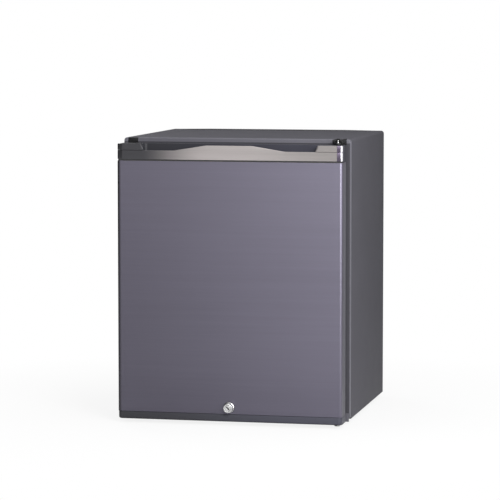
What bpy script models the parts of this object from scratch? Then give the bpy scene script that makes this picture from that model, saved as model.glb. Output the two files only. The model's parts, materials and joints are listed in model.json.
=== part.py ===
"""Minibar fridge with a hinged, lockable door and a silent heat-driven cooling unit at the back.

Cabinet coordinates are used while a piece is shaped: X runs to the right across the front, Y runs
backwards from the cabinet's front face, Z runs up from the cabinet's underside. One empty carries
them all and sets the world origin on the floor, under the middle of the whole fridge.
"""

import math

import bmesh
import bpy
from mathutils import Matrix, Vector

MM = 0.001

# Running gap and seating gap between two pieces.
SEAT = 0.3 * MM
RUN = 0.3 * MM

# Cabinet.
CABINET_W = 400 * MM
CABINET_H = 484 * MM
CABINET_D = 352 * MM
CABINET_CORNER_R = 5 * MM
FOOT_H = 8 * MM
SHEET_T = 1.2 * MM
WALL_SIDE = 32 * MM
WALL_TOP = 34 * MM
WALL_BOTTOM = 51 * MM
WALL_REAR = 30.8 * MM
LINER_T = 2.5 * MM
LINER_DRAFT = 2 * MM
LINER_LIP = 12 * MM
LINER_CORNER_R = 8 * MM
BACK_PLATE_T = 1 * MM
REAR_SPACE = 83.7 * MM

# Front frame and the steel face that the seal pulls against.
FRAME_D = 12 * MM
FRAME_SIDE = 13 * MM
FRAME_TOP = 15 * MM
FRAME_BOTTOM = 33 * MM
SEAL_FACE_T = 1.2 * MM
RECESS_W = 18 * MM
RECESS_H = 9.4 * MM
RECESS_D = 10 * MM

# Door.
DOOR_SIDE_INSET = 3.2 * MM
DOOR_TOP_DROP = 8.2 * MM
DOOR_BELOW = 1 * MM
DOOR_DEPTH = 60 * MM
DOOR_BODY_T = 40 * MM
DOOR_EDGE_R = 5 * MM
DOOR_SKIN_T = 1 * MM
DOOR_SKIN_RETURN = 8 * MM
DOOR_BACK_CHAMFER = 4 * MM
SIDE_PROFILE_W = 10 * MM
BOTTOM_CAP_H = 13 * MM
TOP_CAP_H = 28.6 * MM

# Handle strip: distances down from the door's top edge and out from its middle.
STRIP_T = 2.2 * MM
STRIP_LOW = 11 * MM
STRIP_HIGH = 1.8 * MM
STRIP_BULGE_HALF = 40 * MM
STRIP_SLOPE_HALF = 97.5 * MM
STRIP_POCKET_HALF = 150 * MM
STRIP_BLOCK_SLANT = 4.5 * MM
TROUGH_DEPTH = 22 * MM
TROUGH_BACK = 26 * MM
TROUGH_WALL = 3 * MM

# Door liner, seal and racks.
DOOR_LINER_T = 2 * MM
DOOR_LINER_EDGE = 6.8 * MM
PLUG_CLEAR = 6 * MM
PLUG_REACH = 9 * MM
PLUG_DRAFT = 4 * MM
GASKET_W = 14 * MM
GASKET_INSET = 2 * MM
CHEEK_T = 6 * MM
CHEEK_REACH = 33 * MM
LEDGE_REACH = 7 * MM
LEDGE_H = 8 * MM
RACK_WALL = 2 * MM
RACK_REACH = 66 * MM
UPPER_RACK_Z = 250 * MM
UPPER_RACK_H = 50 * MM
LOWER_RACK_Z = 84 * MM
LOWER_RACK_H = 74 * MM

# Hinges.
HINGE_FROM_SIDE = 16 * MM
HINGE_FROM_FACE = 30 * MM
HINGE_PIN_R = 3 * MM
HINGE_BUSH_T = 1.7 * MM
HINGE_PLATE_T = 2.5 * MM
HINGE_ARM_HALF = 8.7 * MM
HINGE_ARM_PAST = 9 * MM
HINGE_LIFT = 0.7 * MM
HINGE_LEG_H = 13 * MM
PIN_HEAD_R = 5 * MM
PIN_HEAD_H = 2 * MM
SCREW_HEAD_R = 2.1 * MM
SCREW_SHANK_R = 1.2 * MM
SCREW_HEAD_H = 1.8 * MM
SCREW_SPACING = 9 * MM

# Lock.
LOCK_UP = 24 * MM
LOCK_HEAD_R = 8.2 * MM
LOCK_PROUD = 10 * MM
LOCK_BODY_R = 7 * MM
LOCK_PLUG_R = 4.7 * MM
LOCK_TAIL_R = 2.6 * MM
LOCK_NUT_R = 10 * MM
LOCK_NUT_T = 3 * MM
CAM_REACH = 16 * MM
CAM_W = 9 * MM
CAM_T = 2 * MM
CAM_OFF_FACE = 6.5 * MM
STRIKE_T = 1.5 * MM
STRIKE_HALF = 14 * MM
STRIKE_LAP = 7 * MM
KEY_SLOT_W = 1.4 * MM
KEY_SLOT_L = 6.4 * MM
KEY_SLOT_D = 4 * MM

# Light switch.
SWITCH_X = -100 * MM
SWITCH_UP = 16 * MM
SWITCH_R = 3 * MM
SWITCH_IN_FRAME = 10 * MM

# Inside fittings.
UPPER_SHELF_DROP = 45 * MM
LOWER_SHELF_Z = 170 * MM
SHELF_T = 4 * MM
SHELF_FRONT = 105 * MM
SHELF_LIP = 5 * MM
SHELF_SIDE_CLEAR = 1.5 * MM
SHELF_LEDGE_W = 6.5 * MM
SHELF_LEDGE_H = 4 * MM
SHELF_LEDGE_FRONT = 20 * MM
EVAPORATOR_W = 132 * MM
EVAPORATOR_DROP = 15 * MM
EVAPORATOR_H = 90 * MM
EVAPORATOR_BASE_T = 6 * MM
EVAPORATOR_FIN_L = 28 * MM
EVAPORATOR_FINS = 13
FIN_T = 1.6 * MM
TRAY_W = 140 * MM
TRAY_D = 46 * MM
TRAY_H = 16 * MM
TRAY_WALL = 1.5 * MM
TRAY_BELOW = 7 * MM
TRAY_LEDGE_X = 55 * MM
TRAY_LEDGE_W = 10 * MM
TRAY_LEDGE_H = 6 * MM
THERMOSTAT_W = 38 * MM
THERMOSTAT_D = 50 * MM
THERMOSTAT_H = 42 * MM
THERMOSTAT_FRONT = 100 * MM
KNOB_R = 13 * MM
KNOB_H = 11 * MM
KNOB_SHAFT_R = 3 * MM
KNOB_SHAFT_L = 7 * MM
KNOB_RIDGE_W = 4 * MM
LAMP_W = 90 * MM
LAMP_D = 30 * MM
LAMP_H = 6.5 * MM
LAMP_FRONT = 110 * MM

# Cooling unit behind the back plate.
UNIT_OFF_PLATE = 38 * MM
PIPE_R = 8 * MM
COIL_R = 6.5 * MM
COIL_RUNS = 7
COIL_PITCH = 21 * MM
COIL_BOTTOM = 108 * MM
COIL_FROM_JUNCTION = 18 * MM
COIL_RIGHT = -4 * MM
VESSEL_R = 24 * MM
VESSEL_HALF = 112 * MM
VESSEL_Z = 60 * MM
BOILER_X = 126 * MM
BOILER_SIDE = 58 * MM
BOILER_BOTTOM = 96 * MM
BOILER_DROP = 108 * MM
CONDENSER_DROP = 46 * MM
CONDENSER_LEFT = -120 * MM
CONDENSER_RIGHT = 66 * MM
CONDENSER_FINS = 16
CONDENSER_FIN_H = 56 * MM
CONDENSER_FIN_D = 60 * MM
CONDENSER_SPINE_T = 2 * MM
PIPE_HOLE_X = 26 * MM
PIPE_HOLE_UP = 41 * MM
JUNCTION_FROM_SIDE = 28 * MM
JUNCTION_W = 40 * MM
JUNCTION_D = 34 * MM
JUNCTION_Z = 44 * MM
JUNCTION_H = 70 * MM
GLAND_R = 8 * MM
GLAND_BORE_R = 3.6 * MM
GLAND_L = 16 * MM

# Rear edge, underside and feet.
NOTCH_INSET = 12 * MM
REAR_BAR_D = 9 * MM
REAR_BAR_H = 13 * MM
REAR_SLIT = 4.6 * MM
AIR_INLET_HALF = 110 * MM
AIR_INLET_D = 52 * MM
AIR_INLET_FROM_REAR = 16 * MM
FOOT_R = 12 * MM
FOOT_INSET_X = 34 * MM
FOOT_INSET_FRONT = 46 * MM
FOOT_INSET_REAR = 42 * MM

# Levels worked out from the sizes above, in cabinet coordinates.
HALF_W = CABINET_W / 2
IN_HALF = HALF_W - WALL_SIDE
IN_LOW = WALL_BOTTOM
IN_HIGH = CABINET_H - WALL_TOP
DOOR_HALF = HALF_W - DOOR_SIDE_INSET
DOOR_LOW = -DOOR_BELOW
DOOR_HIGH = CABINET_H - DOOR_TOP_DROP
DOOR_FRONT = -DOOR_DEPTH
DOOR_BACK = DOOR_FRONT + DOOR_BODY_T
DOOR_FLANGE = DOOR_BACK + SEAT
DOOR_INNER = DOOR_FLANGE + DOOR_LINER_T
PANEL_LOW = DOOR_LOW + BOTTOM_CAP_H + SEAT
PANEL_HIGH = DOOR_HIGH - TOP_CAP_H - SEAT
CAP_LOW = DOOR_HIGH - TOP_CAP_H
HINGE_X = HALF_W - HINGE_FROM_SIDE
HINGE_Y = -HINGE_FROM_FACE
LOCK_Z = LOCK_UP
PLUG_HALF = IN_HALF - PLUG_CLEAR
PLUG_LOW = IN_LOW + PLUG_CLEAR
PLUG_HIGH = IN_HIGH - PLUG_CLEAR
PLATE_FRONT = CABINET_D - REAR_SPACE
PLATE_BACK = PLATE_FRONT + BACK_PLATE_T
UNIT_Y = PLATE_BACK + UNIT_OFF_PLATE
LINER_BACK = PLATE_FRONT - WALL_REAR
LINER_DEPTH = LINER_BACK - LINER_T
EVAPORATOR_BOTTOM = IN_HIGH - EVAPORATOR_DROP - EVAPORATOR_H
UPPER_SHELF_Z = EVAPORATOR_BOTTOM - UPPER_SHELF_DROP
PIPE_HOLE_Z = EVAPORATOR_BOTTOM + PIPE_HOLE_UP
CONDENSER_Z = CABINET_H - CONDENSER_DROP
BOILER_TOP = CONDENSER_Z - BOILER_DROP
JUNCTION_X = JUNCTION_FROM_SIDE - HALF_W
COIL_LEFT = JUNCTION_X + JUNCTION_W / 2 + COIL_FROM_JUNCTION
NOTCH_HALF = HALF_W - NOTCH_INSET
FACE_Y = -(CABINET_D - DOOR_DEPTH - LOCK_PROUD) / 2

ROUND_STEPS = 16
CORNER_STEPS = 3

FINISHES = {
    "cabinet_paint": ((0.105, 0.105, 0.112), 0.55, 0.0),
    "frame_plastic": ((0.135, 0.135, 0.145), 0.5, 0.0),
    "door_metal": ((0.21, 0.2, 0.235), 0.38, 0.75),
    "handle_steel": ((0.52, 0.5, 0.48), 0.32, 0.95),
    "dark_plastic": ((0.055, 0.055, 0.06), 0.5, 0.0),
    "black_steel": ((0.02, 0.02, 0.022), 0.4, 0.6),
    "chrome": ((0.7, 0.7, 0.7), 0.15, 1.0),
    "zinc_steel": ((0.5, 0.5, 0.5), 0.4, 0.9),
    "black_enamel": ((0.025, 0.025, 0.027), 0.45, 0.1),
    "aluminium": ((0.6, 0.6, 0.61), 0.35, 0.95),
    "white_plastic": ((0.8, 0.8, 0.8), 0.4, 0.0),
    "seal_rubber": ((0.05, 0.05, 0.052), 0.7, 0.0),
    "foam": ((0.75, 0.66, 0.42), 0.9, 0.0),
    "clear_plastic": ((0.75, 0.8, 0.82), 0.12, 0.0),
    "foot_rubber": ((0.02, 0.02, 0.02), 0.8, 0.0),
    "nylon": ((0.7, 0.7, 0.66), 0.5, 0.0),
}

AXIS_ORDER = {
    "x": lambda u, v, w: (w, u, v),
    "y": lambda u, v, w: (u, w, v),
    "z": lambda u, v, w: (u, v, w),
}

made_finishes = {}
carriers = {}


def clear_scene():
    """Remove whatever objects the file opened with."""
    for old in list(bpy.data.objects):
        bpy.data.objects.remove(old, do_unlink=True)


def finish_named(name):
    """Make or fetch the Principled material of one finish."""
    if name not in made_finishes:
        colour, roughness, metallic = FINISHES[name]
        made = bpy.data.materials.new(name)
        made.use_nodes = True
        shader = made.node_tree.nodes["Principled BSDF"]
        shader.inputs["Base Color"].default_value = (*colour, 1)
        shader.inputs["Roughness"].default_value = roughness
        shader.inputs["Metallic"].default_value = metallic
        made_finishes[name] = made
    return made_finishes[name]


def add_carrier(name, place, parent=None):
    """Add an empty at a place in cabinet coordinates, or in the world when it has no parent."""
    empty = bpy.data.objects.new(name, None)
    bpy.context.scene.collection.objects.link(empty)
    empty.parent = carriers[parent][0] if parent else None
    origin = Vector(place) if parent else Vector((0, 0, 0))
    empty.location = origin - carriers[parent][1] if parent else Vector(place)
    carriers[name] = (empty, origin)


def place(name, data, origin, parent):
    """Add an object whose origin is a point in cabinet coordinates."""
    made = bpy.data.objects.new(name, data)
    bpy.context.scene.collection.objects.link(made)
    made.parent = carriers[parent][0]
    made.location = Vector(origin) - carriers[parent][1]
    return made


def middle(shape):
    """Middle of a shape's bounding box."""
    low = [min(vert.co[i] for vert in shape.verts) for i in range(3)]
    high = [max(vert.co[i] for vert in shape.verts) for i in range(3)]
    return Vector([(a + b) / 2 for a, b in zip(low, high)])


def piece(name, shape, finish, parent="cabinet", origin=None):
    """Turn a shape in cabinet coordinates into a named object with its finish."""
    origin = Vector(origin) if origin else middle(shape)
    shape.transform(Matrix.Translation(-origin))
    mesh = bpy.data.meshes.new(name)
    shape.to_mesh(mesh)
    shape.free()
    mesh.materials.append(finish_named(finish))
    mesh.shade_smooth()
    mesh.set_sharp_from_angle(angle=math.radians(32))
    return place(name, mesh, origin, parent)


def tool(target, shape, operation, parent="cabinet"):
    """Cut a shape from an object, or join it on, with a live Boolean."""
    label = f"{operation.lower()}_{target.name}_{len(target.modifiers)}"
    cutter = piece(label, shape, "dark_plastic", parent)
    cutter.hide_render = True
    cutter.display_type = "WIRE"
    step = target.modifiers.new(label, "BOOLEAN")
    step.operation = operation
    step.solver = "EXACT"
    step.object = cutter


def cut(target, shape, parent="cabinet"):
    """Take a shape away from an object."""
    tool(target, shape, "DIFFERENCE", parent)


def join(target, shape, parent="cabinet"):
    """Make a shape one body with an object that it reaches into."""
    tool(target, shape, "UNION", parent)


def arc(centre, radius, start, end, steps):
    """Points of an arc in a plane, from one angle to another in degrees."""
    turn = [math.radians(start + (end - start) * i / steps) for i in range(steps + 1)]
    return [(centre[0] + radius * math.cos(a), centre[1] + radius * math.sin(a)) for a in turn]


def rounded(u_low, u_high, v_low, v_high, radius):
    """Rectangle with rounded corners, going round once."""
    corners = (
        (u_low + radius, v_low + radius, 180),
        (u_high - radius, v_low + radius, 270),
        (u_high - radius, v_high - radius, 0),
        (u_low + radius, v_high - radius, 90),
    )
    points = []
    for u, v, start in corners:
        points += arc((u, v), radius, start, start + 90, CORNER_STEPS)
    return points


def loft(sections, axis, ring=False):
    """Join loops of equal length along an axis: capped at both ends, or closed into a ring."""
    shape = bmesh.new()
    order = AXIS_ORDER[axis]
    loops = []
    for points, level in sections:
        loops.append([shape.verts.new(order(u, v, level)) for u, v in points])
    pairs = list(zip(loops, loops[1:]))
    if ring:
        pairs.append((loops[-1], loops[0]))
    for near, far in pairs:
        for i in range(len(near)):
            j = (i + 1) % len(near)
            shape.faces.new((near[i], near[j], far[j], far[i]))
    if not ring:
        shape.faces.new(loops[0])
        shape.faces.new(loops[-1])
    bmesh.ops.recalc_face_normals(shape, faces=shape.faces)
    return shape


def prism(points, axis, low, high):
    """Flat outline pushed along an axis."""
    return loft(((points, low), (points, high)), axis)


def block(x, y, z, bevel=0.0):
    """Box from pairs of limits, its edges bevelled when a width is given."""
    outline = [(x[0], y[0]), (x[1], y[0]), (x[1], y[1]), (x[0], y[1])]
    shape = prism(outline, "z", z[0], z[1])
    if bevel:
        bmesh.ops.bevel(shape, geom=shape.edges[:], offset=bevel, segments=2, profile=0.5, affect="EDGES")
    return shape


def turned(profile, axis, centre, ring=False, steps=ROUND_STEPS):
    """Turn a profile of (radius, level) points round an axis that passes through a centre."""
    shape = bmesh.new()
    order = AXIS_ORDER[axis]
    loops = []
    for radius, level in profile:
        if radius < 1e-9:
            loops.append([shape.verts.new(order(centre[0], centre[1], level))])
            continue
        points = arc(centre, radius, 0, 360, steps)[:-1]
        loops.append([shape.verts.new(order(u, v, level)) for u, v in points])
    pairs = list(zip(loops, loops[1:]))
    if ring:
        pairs.append((loops[-1], loops[0]))
    for near, far in pairs:
        for i in range(steps):
            j = (i + 1) % steps
            corners = [near[i % len(near)], near[j % len(near)], far[j % len(far)], far[i % len(far)]]
            shape.faces.new(list(dict.fromkeys(corners)))
    bmesh.ops.recalc_face_normals(shape, faces=shape.faces)
    return shape


def rod(axis, centre, radius, low, high, steps=ROUND_STEPS):
    """Plain cylinder along an axis."""
    return turned(((0, low), (radius, low), (radius, high), (0, high)), axis, centre, steps=steps)


def bent_path(corners, bend, steps=5):
    """Points along straight runs whose corners are rounded to a bend radius."""
    points = [Vector(corners[0])]
    for before, corner, after in zip(corners, corners[1:], corners[2:]):
        corner = Vector(corner)
        back = (Vector(before) - corner).normalized()
        on = (Vector(after) - corner).normalized()
        half = back.angle(on) / 2
        reach = bend / math.tan(half)
        centre = corner + (back + on).normalized() * bend / math.sin(half)
        first = corner + back * reach - centre
        last = corner + on * reach - centre
        sweep = first.angle(last)
        for i in range(steps + 1):
            share = i / steps
            a = math.sin((1 - share) * sweep) / math.sin(sweep)
            b = math.sin(share * sweep) / math.sin(sweep)
            points.append(centre + first * a + last * b)
    points.append(Vector(corners[-1]))
    return points


def tube(name, points, radius, finish):
    """Solid pipe along a list of points, as a bevelled curve with filled ends."""
    curve = bpy.data.curves.new(name, "CURVE")
    curve.dimensions = "3D"
    curve.bevel_depth = radius
    curve.bevel_resolution = 2
    curve.use_fill_caps = True
    origin = points[0]
    spline = curve.splines.new("POLY")
    spline.points.add(len(points) - 1)
    for spot, point in zip(spline.points, points):
        spot.co = (*(point - origin), 1)
    curve.materials.append(finish_named(finish))
    return place(name, curve, origin, "cabinet")


def wrapped_skin(thickness):
    """Plan outline of a sheet that covers the door's front and folds back round both side edges."""
    back = DOOR_FRONT + DOOR_SKIN_RETURN
    r = DOOR_EDGE_R
    inner = r - thickness
    left = (-DOOR_HALF + r, DOOR_FRONT + r)
    right = (DOOR_HALF - r, DOOR_FRONT + r)
    points = [(-DOOR_HALF, back)]
    points += arc(left, r, 180, 270, CORNER_STEPS)
    points += arc(right, r, 270, 360, CORNER_STEPS)
    points += [(DOOR_HALF, back), (DOOR_HALF - thickness, back)]
    points += arc(right, inner, 360, 270, CORNER_STEPS)
    points += arc(left, inner, 270, 180, CORNER_STEPS)
    points += [(-DOOR_HALF + thickness, back)]
    return points


def wave_above(clear):
    """Outline of the space above the wavy top edge, between the two end blocks."""
    low = DOOR_HIGH - STRIP_LOW
    high = DOOR_HIGH - STRIP_HIGH
    over = DOOR_HIGH + clear
    slant = STRIP_BLOCK_SLANT
    right = [
        (STRIP_BULGE_HALF, high),
        (STRIP_SLOPE_HALF, low),
        (STRIP_POCKET_HALF, low),
        (STRIP_POCKET_HALF + slant, DOOR_HIGH),
        (STRIP_POCKET_HALF + slant, over),
    ]
    left = [(-x, z) for x, z in reversed(right)]
    return left + right


def make_wrapper():
    """Painted sheet over both sides and the top, with a notch at the rear of the top."""
    r = CABINET_CORNER_R
    corner = CABINET_H - r
    inner = r - SHEET_T
    points = [(-HALF_W, 0)]
    points += arc((-HALF_W + r, corner), r, 180, 90, CORNER_STEPS)
    points += arc((HALF_W - r, corner), r, 90, 0, CORNER_STEPS)
    points += [(HALF_W, 0), (HALF_W - SHEET_T, 0)]
    points += arc((HALF_W - r, corner), inner, 0, 90, CORNER_STEPS)
    points += arc((-HALF_W + r, corner), inner, 90, 180, CORNER_STEPS)
    points += [(-HALF_W + SHEET_T, 0)]
    wrapper = piece("outer_wrapper", prism(points, "y", FRAME_D + SEAT, CABINET_D), "cabinet_paint")
    front = CABINET_D - REAR_BAR_D - REAR_SLIT
    notch = [
        (-NOTCH_HALF, CABINET_D + r),
        (-NOTCH_HALF, front + REAR_SLIT),
        (-NOTCH_HALF + 2 * REAR_SLIT, front),
        (NOTCH_HALF - 2 * REAR_SLIT, front),
        (NOTCH_HALF, front + REAR_SLIT),
        (NOTCH_HALF, CABINET_D + r),
    ]
    cut(wrapper, prism(notch, "z", CABINET_H - r, CABINET_H + r))


def make_rear_bar():
    """Crossbar under the top sheet that fills the notch but for the air slit."""
    under = CABINET_H - SHEET_T - SEAT
    bottom = under - REAR_BAR_H
    edge = HALF_W - SHEET_T - SEAT
    tongue = NOTCH_HALF - 1 * MM
    r = CABINET_CORNER_R
    right = [(edge, bottom), (edge, under - r), (edge - r, under), (tongue, under), (tongue, CABINET_H)]
    left = [(-x, z) for x, z in reversed(right)]
    bar = prism(right + left, "y", CABINET_D - REAR_BAR_D, CABINET_D - SEAT)
    piece("rear_top_bar", bar, "cabinet_paint")


def make_base_plate():
    """Bottom sheet with the air inlet of the rear space."""
    edge = HALF_W - SHEET_T - SEAT
    plate = piece("base_plate", block((-edge, edge), (FRAME_D + SEAT, CABINET_D), (0, SHEET_T)), "zinc_steel")
    rear = CABINET_D - AIR_INLET_FROM_REAR
    inlet = rounded(-AIR_INLET_HALF, AIR_INLET_HALF, rear - AIR_INLET_D, rear, 6 * MM)
    cut(plate, prism(inlet, "z", -SHEET_T, 2 * SHEET_T))


def make_back_plate():
    """Steel sheet behind the foam that carries the cooling unit."""
    edge = HALF_W - SHEET_T - 2 * SEAT
    outline = rounded(-edge, edge, SHEET_T + 2 * SEAT, CABINET_H - SHEET_T - 2 * SEAT, CABINET_CORNER_R)
    plate = piece("back_plate", prism(outline, "y", PLATE_FRONT, PLATE_BACK), "zinc_steel")
    for side in (-1, 1):
        cut(plate, pipe_hole(side, PLATE_FRONT - SHEET_T, PLATE_BACK + SHEET_T))


def pipe_hole(side, low, high):
    """Round hole that one cooling pipe passes through."""
    return rod("y", (side * PIPE_HOLE_X, PIPE_HOLE_Z), PIPE_R + RUN, low, high)


def frame_loop(inset, radius):
    """Rounded rectangle inside the cabinet's front outline."""
    return rounded(-HALF_W + inset, HALF_W - inset, inset, CABINET_H - inset, radius)


def make_front_frame():
    """Plastic ring round the front, with a hinge recess at both ends of its top bar."""
    soft = 1 * MM
    inside = rounded(
        -HALF_W + FRAME_SIDE, HALF_W - FRAME_SIDE, FRAME_BOTTOM, CABINET_H - FRAME_TOP, 3 * MM
    )
    sections = (
        (frame_loop(0, CABINET_CORNER_R), FRAME_D),
        (frame_loop(0, CABINET_CORNER_R), soft),
        (frame_loop(soft, CABINET_CORNER_R - soft), 0),
        (inside, 0),
        (inside, FRAME_D),
    )
    frame = piece("front_frame", loft(sections, "y", ring=True), "frame_plastic")
    for side in (-1, 1):
        x = sorted((side * (HINGE_X - RECESS_W / 2), side * (HINGE_X + RECESS_W / 2)))
        y = (-soft, RECESS_D)
        cut(frame, block(x, y, (CABINET_H - RECESS_H, CABINET_H + soft)))
    cut(frame, rod("y", (SWITCH_X, SWITCH_UP), SWITCH_R + RUN, -soft, FRAME_D + soft))


def make_seal_face():
    """Flat painted steel ring that the door's magnetic seal closes on."""
    outer = rounded(
        -HALF_W + FRAME_SIDE + SEAT,
        HALF_W - FRAME_SIDE - SEAT,
        FRAME_BOTTOM + SEAT,
        CABINET_H - FRAME_TOP - SEAT,
        3 * MM,
    )
    inner = rounded(-IN_HALF, IN_HALF, IN_LOW, IN_HIGH, LINER_CORNER_R)
    sections = ((outer, 0), (inner, 0), (inner, SEAL_FACE_T), (outer, SEAL_FACE_T))
    piece("seal_face", loft(sections, "y", ring=True), "cabinet_paint")


def inner_loop(grow):
    """Rounded rectangle of the cabinet's mouth, grown on all sides."""
    radius = LINER_CORNER_R + max(grow, 0)
    return rounded(-IN_HALF - grow, IN_HALF + grow, IN_LOW - grow, IN_HIGH + grow, radius)


def make_liner():
    """Moulded inner box with a lip, shelf ledges, tray ledges and holes for the two pipes."""
    lip = SEAL_FACE_T + SEAT
    sections = (
        (inner_loop(-LINER_DRAFT), LINER_DEPTH),
        (inner_loop(0), lip),
        (inner_loop(LINER_LIP), lip),
        (inner_loop(LINER_LIP), lip + LINER_T),
        (inner_loop(LINER_T), lip + LINER_T),
        (inner_loop(LINER_T - LINER_DRAFT), LINER_BACK),
    )
    liner = piece("inner_liner", loft(sections, "y"), "white_plastic")
    rear = LINER_DEPTH + LINER_T / 2
    wall = IN_HALF + LINER_T / 2
    for level in (UPPER_SHELF_Z, LOWER_SHELF_Z):
        for side in (-1, 1):
            ledge = [
                (side * (IN_HALF - SHELF_LEDGE_W), SHELF_LEDGE_FRONT),
                (side * wall, SHELF_LEDGE_FRONT),
                (side * (wall - LINER_DRAFT), rear),
                (side * (IN_HALF - SHELF_LEDGE_W), rear),
            ]
            join(liner, prism(ledge, "z", level - SEAT - SHELF_LEDGE_H, level - SEAT))
    for side in (-1, 1):
        x = sorted((side * TRAY_LEDGE_X, side * (TRAY_LEDGE_X - TRAY_LEDGE_W)))
        top = tray_floor() - SEAT
        y = (LINER_DEPTH - TRAY_D + TRAY_LEDGE_W, rear)
        join(liner, block(x, y, (top - TRAY_LEDGE_H, top)))
        cut(liner, pipe_hole(side, LINER_DEPTH - LINER_T, LINER_BACK + LINER_T))


def make_foam():
    """Foam between the liner and the outer sheets."""
    gap = LINER_T + SEAT
    front = SEAL_FACE_T + SEAT + LINER_T + SEAT
    nose_x = HALF_W - FRAME_SIDE - 2 * SEAT
    nose = rounded(-nose_x, nose_x, FRAME_BOTTOM + 2 * SEAT, CABINET_H - FRAME_TOP - 2 * SEAT, 3 * MM)
    edge = SHEET_T + SEAT
    outer = rounded(-HALF_W + edge, HALF_W - edge, edge, CABINET_H - edge, CABINET_CORNER_R)
    sections = (
        (inner_loop(gap - LINER_DRAFT), LINER_BACK + SEAT),
        (inner_loop(gap), front),
        (nose, front),
        (nose, FRAME_D + SEAT),
        (outer, FRAME_D + SEAT),
        (outer, PLATE_FRONT - SEAT),
    )
    foam = piece("foam_body", loft(sections, "y"), "foam")
    for side in (-1, 1):
        cut(foam, pipe_hole(side, LINER_DEPTH, PLATE_BACK))


def make_feet():
    """Four rubber feet under the base plate."""
    rear = CABINET_D - FOOT_INSET_REAR
    spots = {
        "foot_front_left": (-1, FOOT_INSET_FRONT),
        "foot_front_right": (1, FOOT_INSET_FRONT),
        "foot_rear_left": (-1, rear),
        "foot_rear_right": (1, rear),
    }
    for name, (side, y) in spots.items():
        centre = (side * (HALF_W - FOOT_INSET_X), y)
        profile = ((0, -FOOT_H), (FOOT_R * 0.8, -FOOT_H), (FOOT_R, -SEAT), (0, -SEAT))
        piece(name, turned(profile, "z", centre), "foot_rubber")


def bracket_arm(back, low, bore):
    """Arm of a hinge bracket: a strip with a round end over the hinge axis."""
    half = HINGE_ARM_HALF
    end = HINGE_Y - HINGE_ARM_PAST + half
    outline = arc((HINGE_X, end), half, 180, 360, 6) + [(HINGE_X + half, back), (HINGE_X - half, back)]
    return prism(outline, "z", low, low + HINGE_PLATE_T), rod(
        "z", (HINGE_X, HINGE_Y), bore, low - HINGE_PLATE_T, low + 2 * HINGE_PLATE_T
    )


def make_screws(label, y_face, z, centre_x):
    """Two screws through a bracket's upright leg, whose front face is at y_face."""
    bores = []
    for i, side in enumerate((-1, 1)):
        centre = (centre_x + side * SCREW_SPACING / 2, z)
        front = y_face - SEAT - SCREW_HEAD_H
        profile = (
            (0, front),
            (SCREW_HEAD_R * 0.7, front),
            (SCREW_HEAD_R, y_face - SEAT - SCREW_HEAD_H / 2),
            (SCREW_HEAD_R, y_face - SEAT),
            (SCREW_SHANK_R, y_face - SEAT),
            (SCREW_SHANK_R, y_face + HINGE_PLATE_T),
            (0, y_face + HINGE_PLATE_T),
        )
        piece(f"{label}_screw_{i + 1}", turned(profile, "y", centre), "black_steel")
        bores.append(rod("y", centre, SCREW_SHANK_R + RUN, y_face - SHEET_T, y_face + 2 * HINGE_PLATE_T))
    return bores


def make_top_hinge():
    """Black bracket in the right recess, its arm over the door, and the pin that hangs from it."""
    low = DOOR_HIGH + HINGE_LIFT
    leg_back = RECESS_D - SEAT
    leg_front = leg_back - HINGE_PLATE_T
    arm, bore = bracket_arm(leg_back, low, HINGE_PIN_R + RUN / 4)
    bracket = piece("top_hinge_bracket", arm, "black_steel")
    x = (HINGE_X - HINGE_ARM_HALF, HINGE_X + HINGE_ARM_HALF)
    leg_top = CABINET_H - SEAT
    join(bracket, block(x, (leg_front, leg_back), (low + HINGE_PLATE_T / 2, leg_top)))
    cut(bracket, bore)
    screw_z = (low + HINGE_PLATE_T + leg_top) / 2
    for hole in make_screws("top_hinge", leg_front, screw_z, HINGE_X):
        cut(bracket, hole)
    head = low + HINGE_PLATE_T + SEAT
    tip = DOOR_HIGH - TROUGH_DEPTH + 4 * MM
    profile = (
        (0, tip),
        (HINGE_PIN_R * 0.7, tip),
        (HINGE_PIN_R, tip + HINGE_PIN_R / 2),
        (HINGE_PIN_R, head),
        (PIN_HEAD_R, head),
        (PIN_HEAD_R * 0.8, head + PIN_HEAD_H),
        (0, head + PIN_HEAD_H),
    )
    piece("top_hinge_pin", turned(profile, "z", (HINGE_X, HINGE_Y)), "chrome")


def make_lower_hinge():
    """Bracket on the frame's bottom bar with its arm under the door, and its pin."""
    top = DOOR_LOW - HINGE_LIFT
    low = top - HINGE_PLATE_T
    leg_front = -SEAT - HINGE_PLATE_T
    arm, bore = bracket_arm(-SEAT, low, HINGE_PIN_R + RUN / 4)
    bracket = piece("lower_hinge_bracket", arm, "frame_plastic")
    x = (HINGE_X - HINGE_ARM_HALF, HALF_W - 1 * MM)
    join(bracket, block(x, (leg_front, -SEAT), (low + HINGE_PLATE_T / 2, top + HINGE_LEG_H)))
    cut(bracket, bore)
    for hole in make_screws("lower_hinge", leg_front, top + HINGE_LEG_H * 0.6, HINGE_X):
        cut(bracket, hole)
    head = low - SEAT
    tip = DOOR_LOW + BOTTOM_CAP_H - 3 * MM
    profile = (
        (0, head - PIN_HEAD_H),
        (PIN_HEAD_R, head - PIN_HEAD_H),
        (PIN_HEAD_R, head),
        (HINGE_PIN_R, head),
        (HINGE_PIN_R, tip - HINGE_PIN_R / 2),
        (HINGE_PIN_R * 0.7, tip),
        (0, tip),
    )
    piece("lower_hinge_pin", turned(profile, "z", (HINGE_X, HINGE_Y)), "zinc_steel")


def make_hinge_plug():
    """Black plug that closes the unused recess on the left."""
    half = RECESS_W / 2 - SEAT
    x = (-HINGE_X - half, -HINGE_X + half)
    shape = block(x, (1 * MM, RECESS_D - SEAT), (CABINET_H - RECESS_H + SEAT, CABINET_H - SEAT), 0.6 * MM)
    piece("hinge_plug", shape, "dark_plastic")


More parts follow.
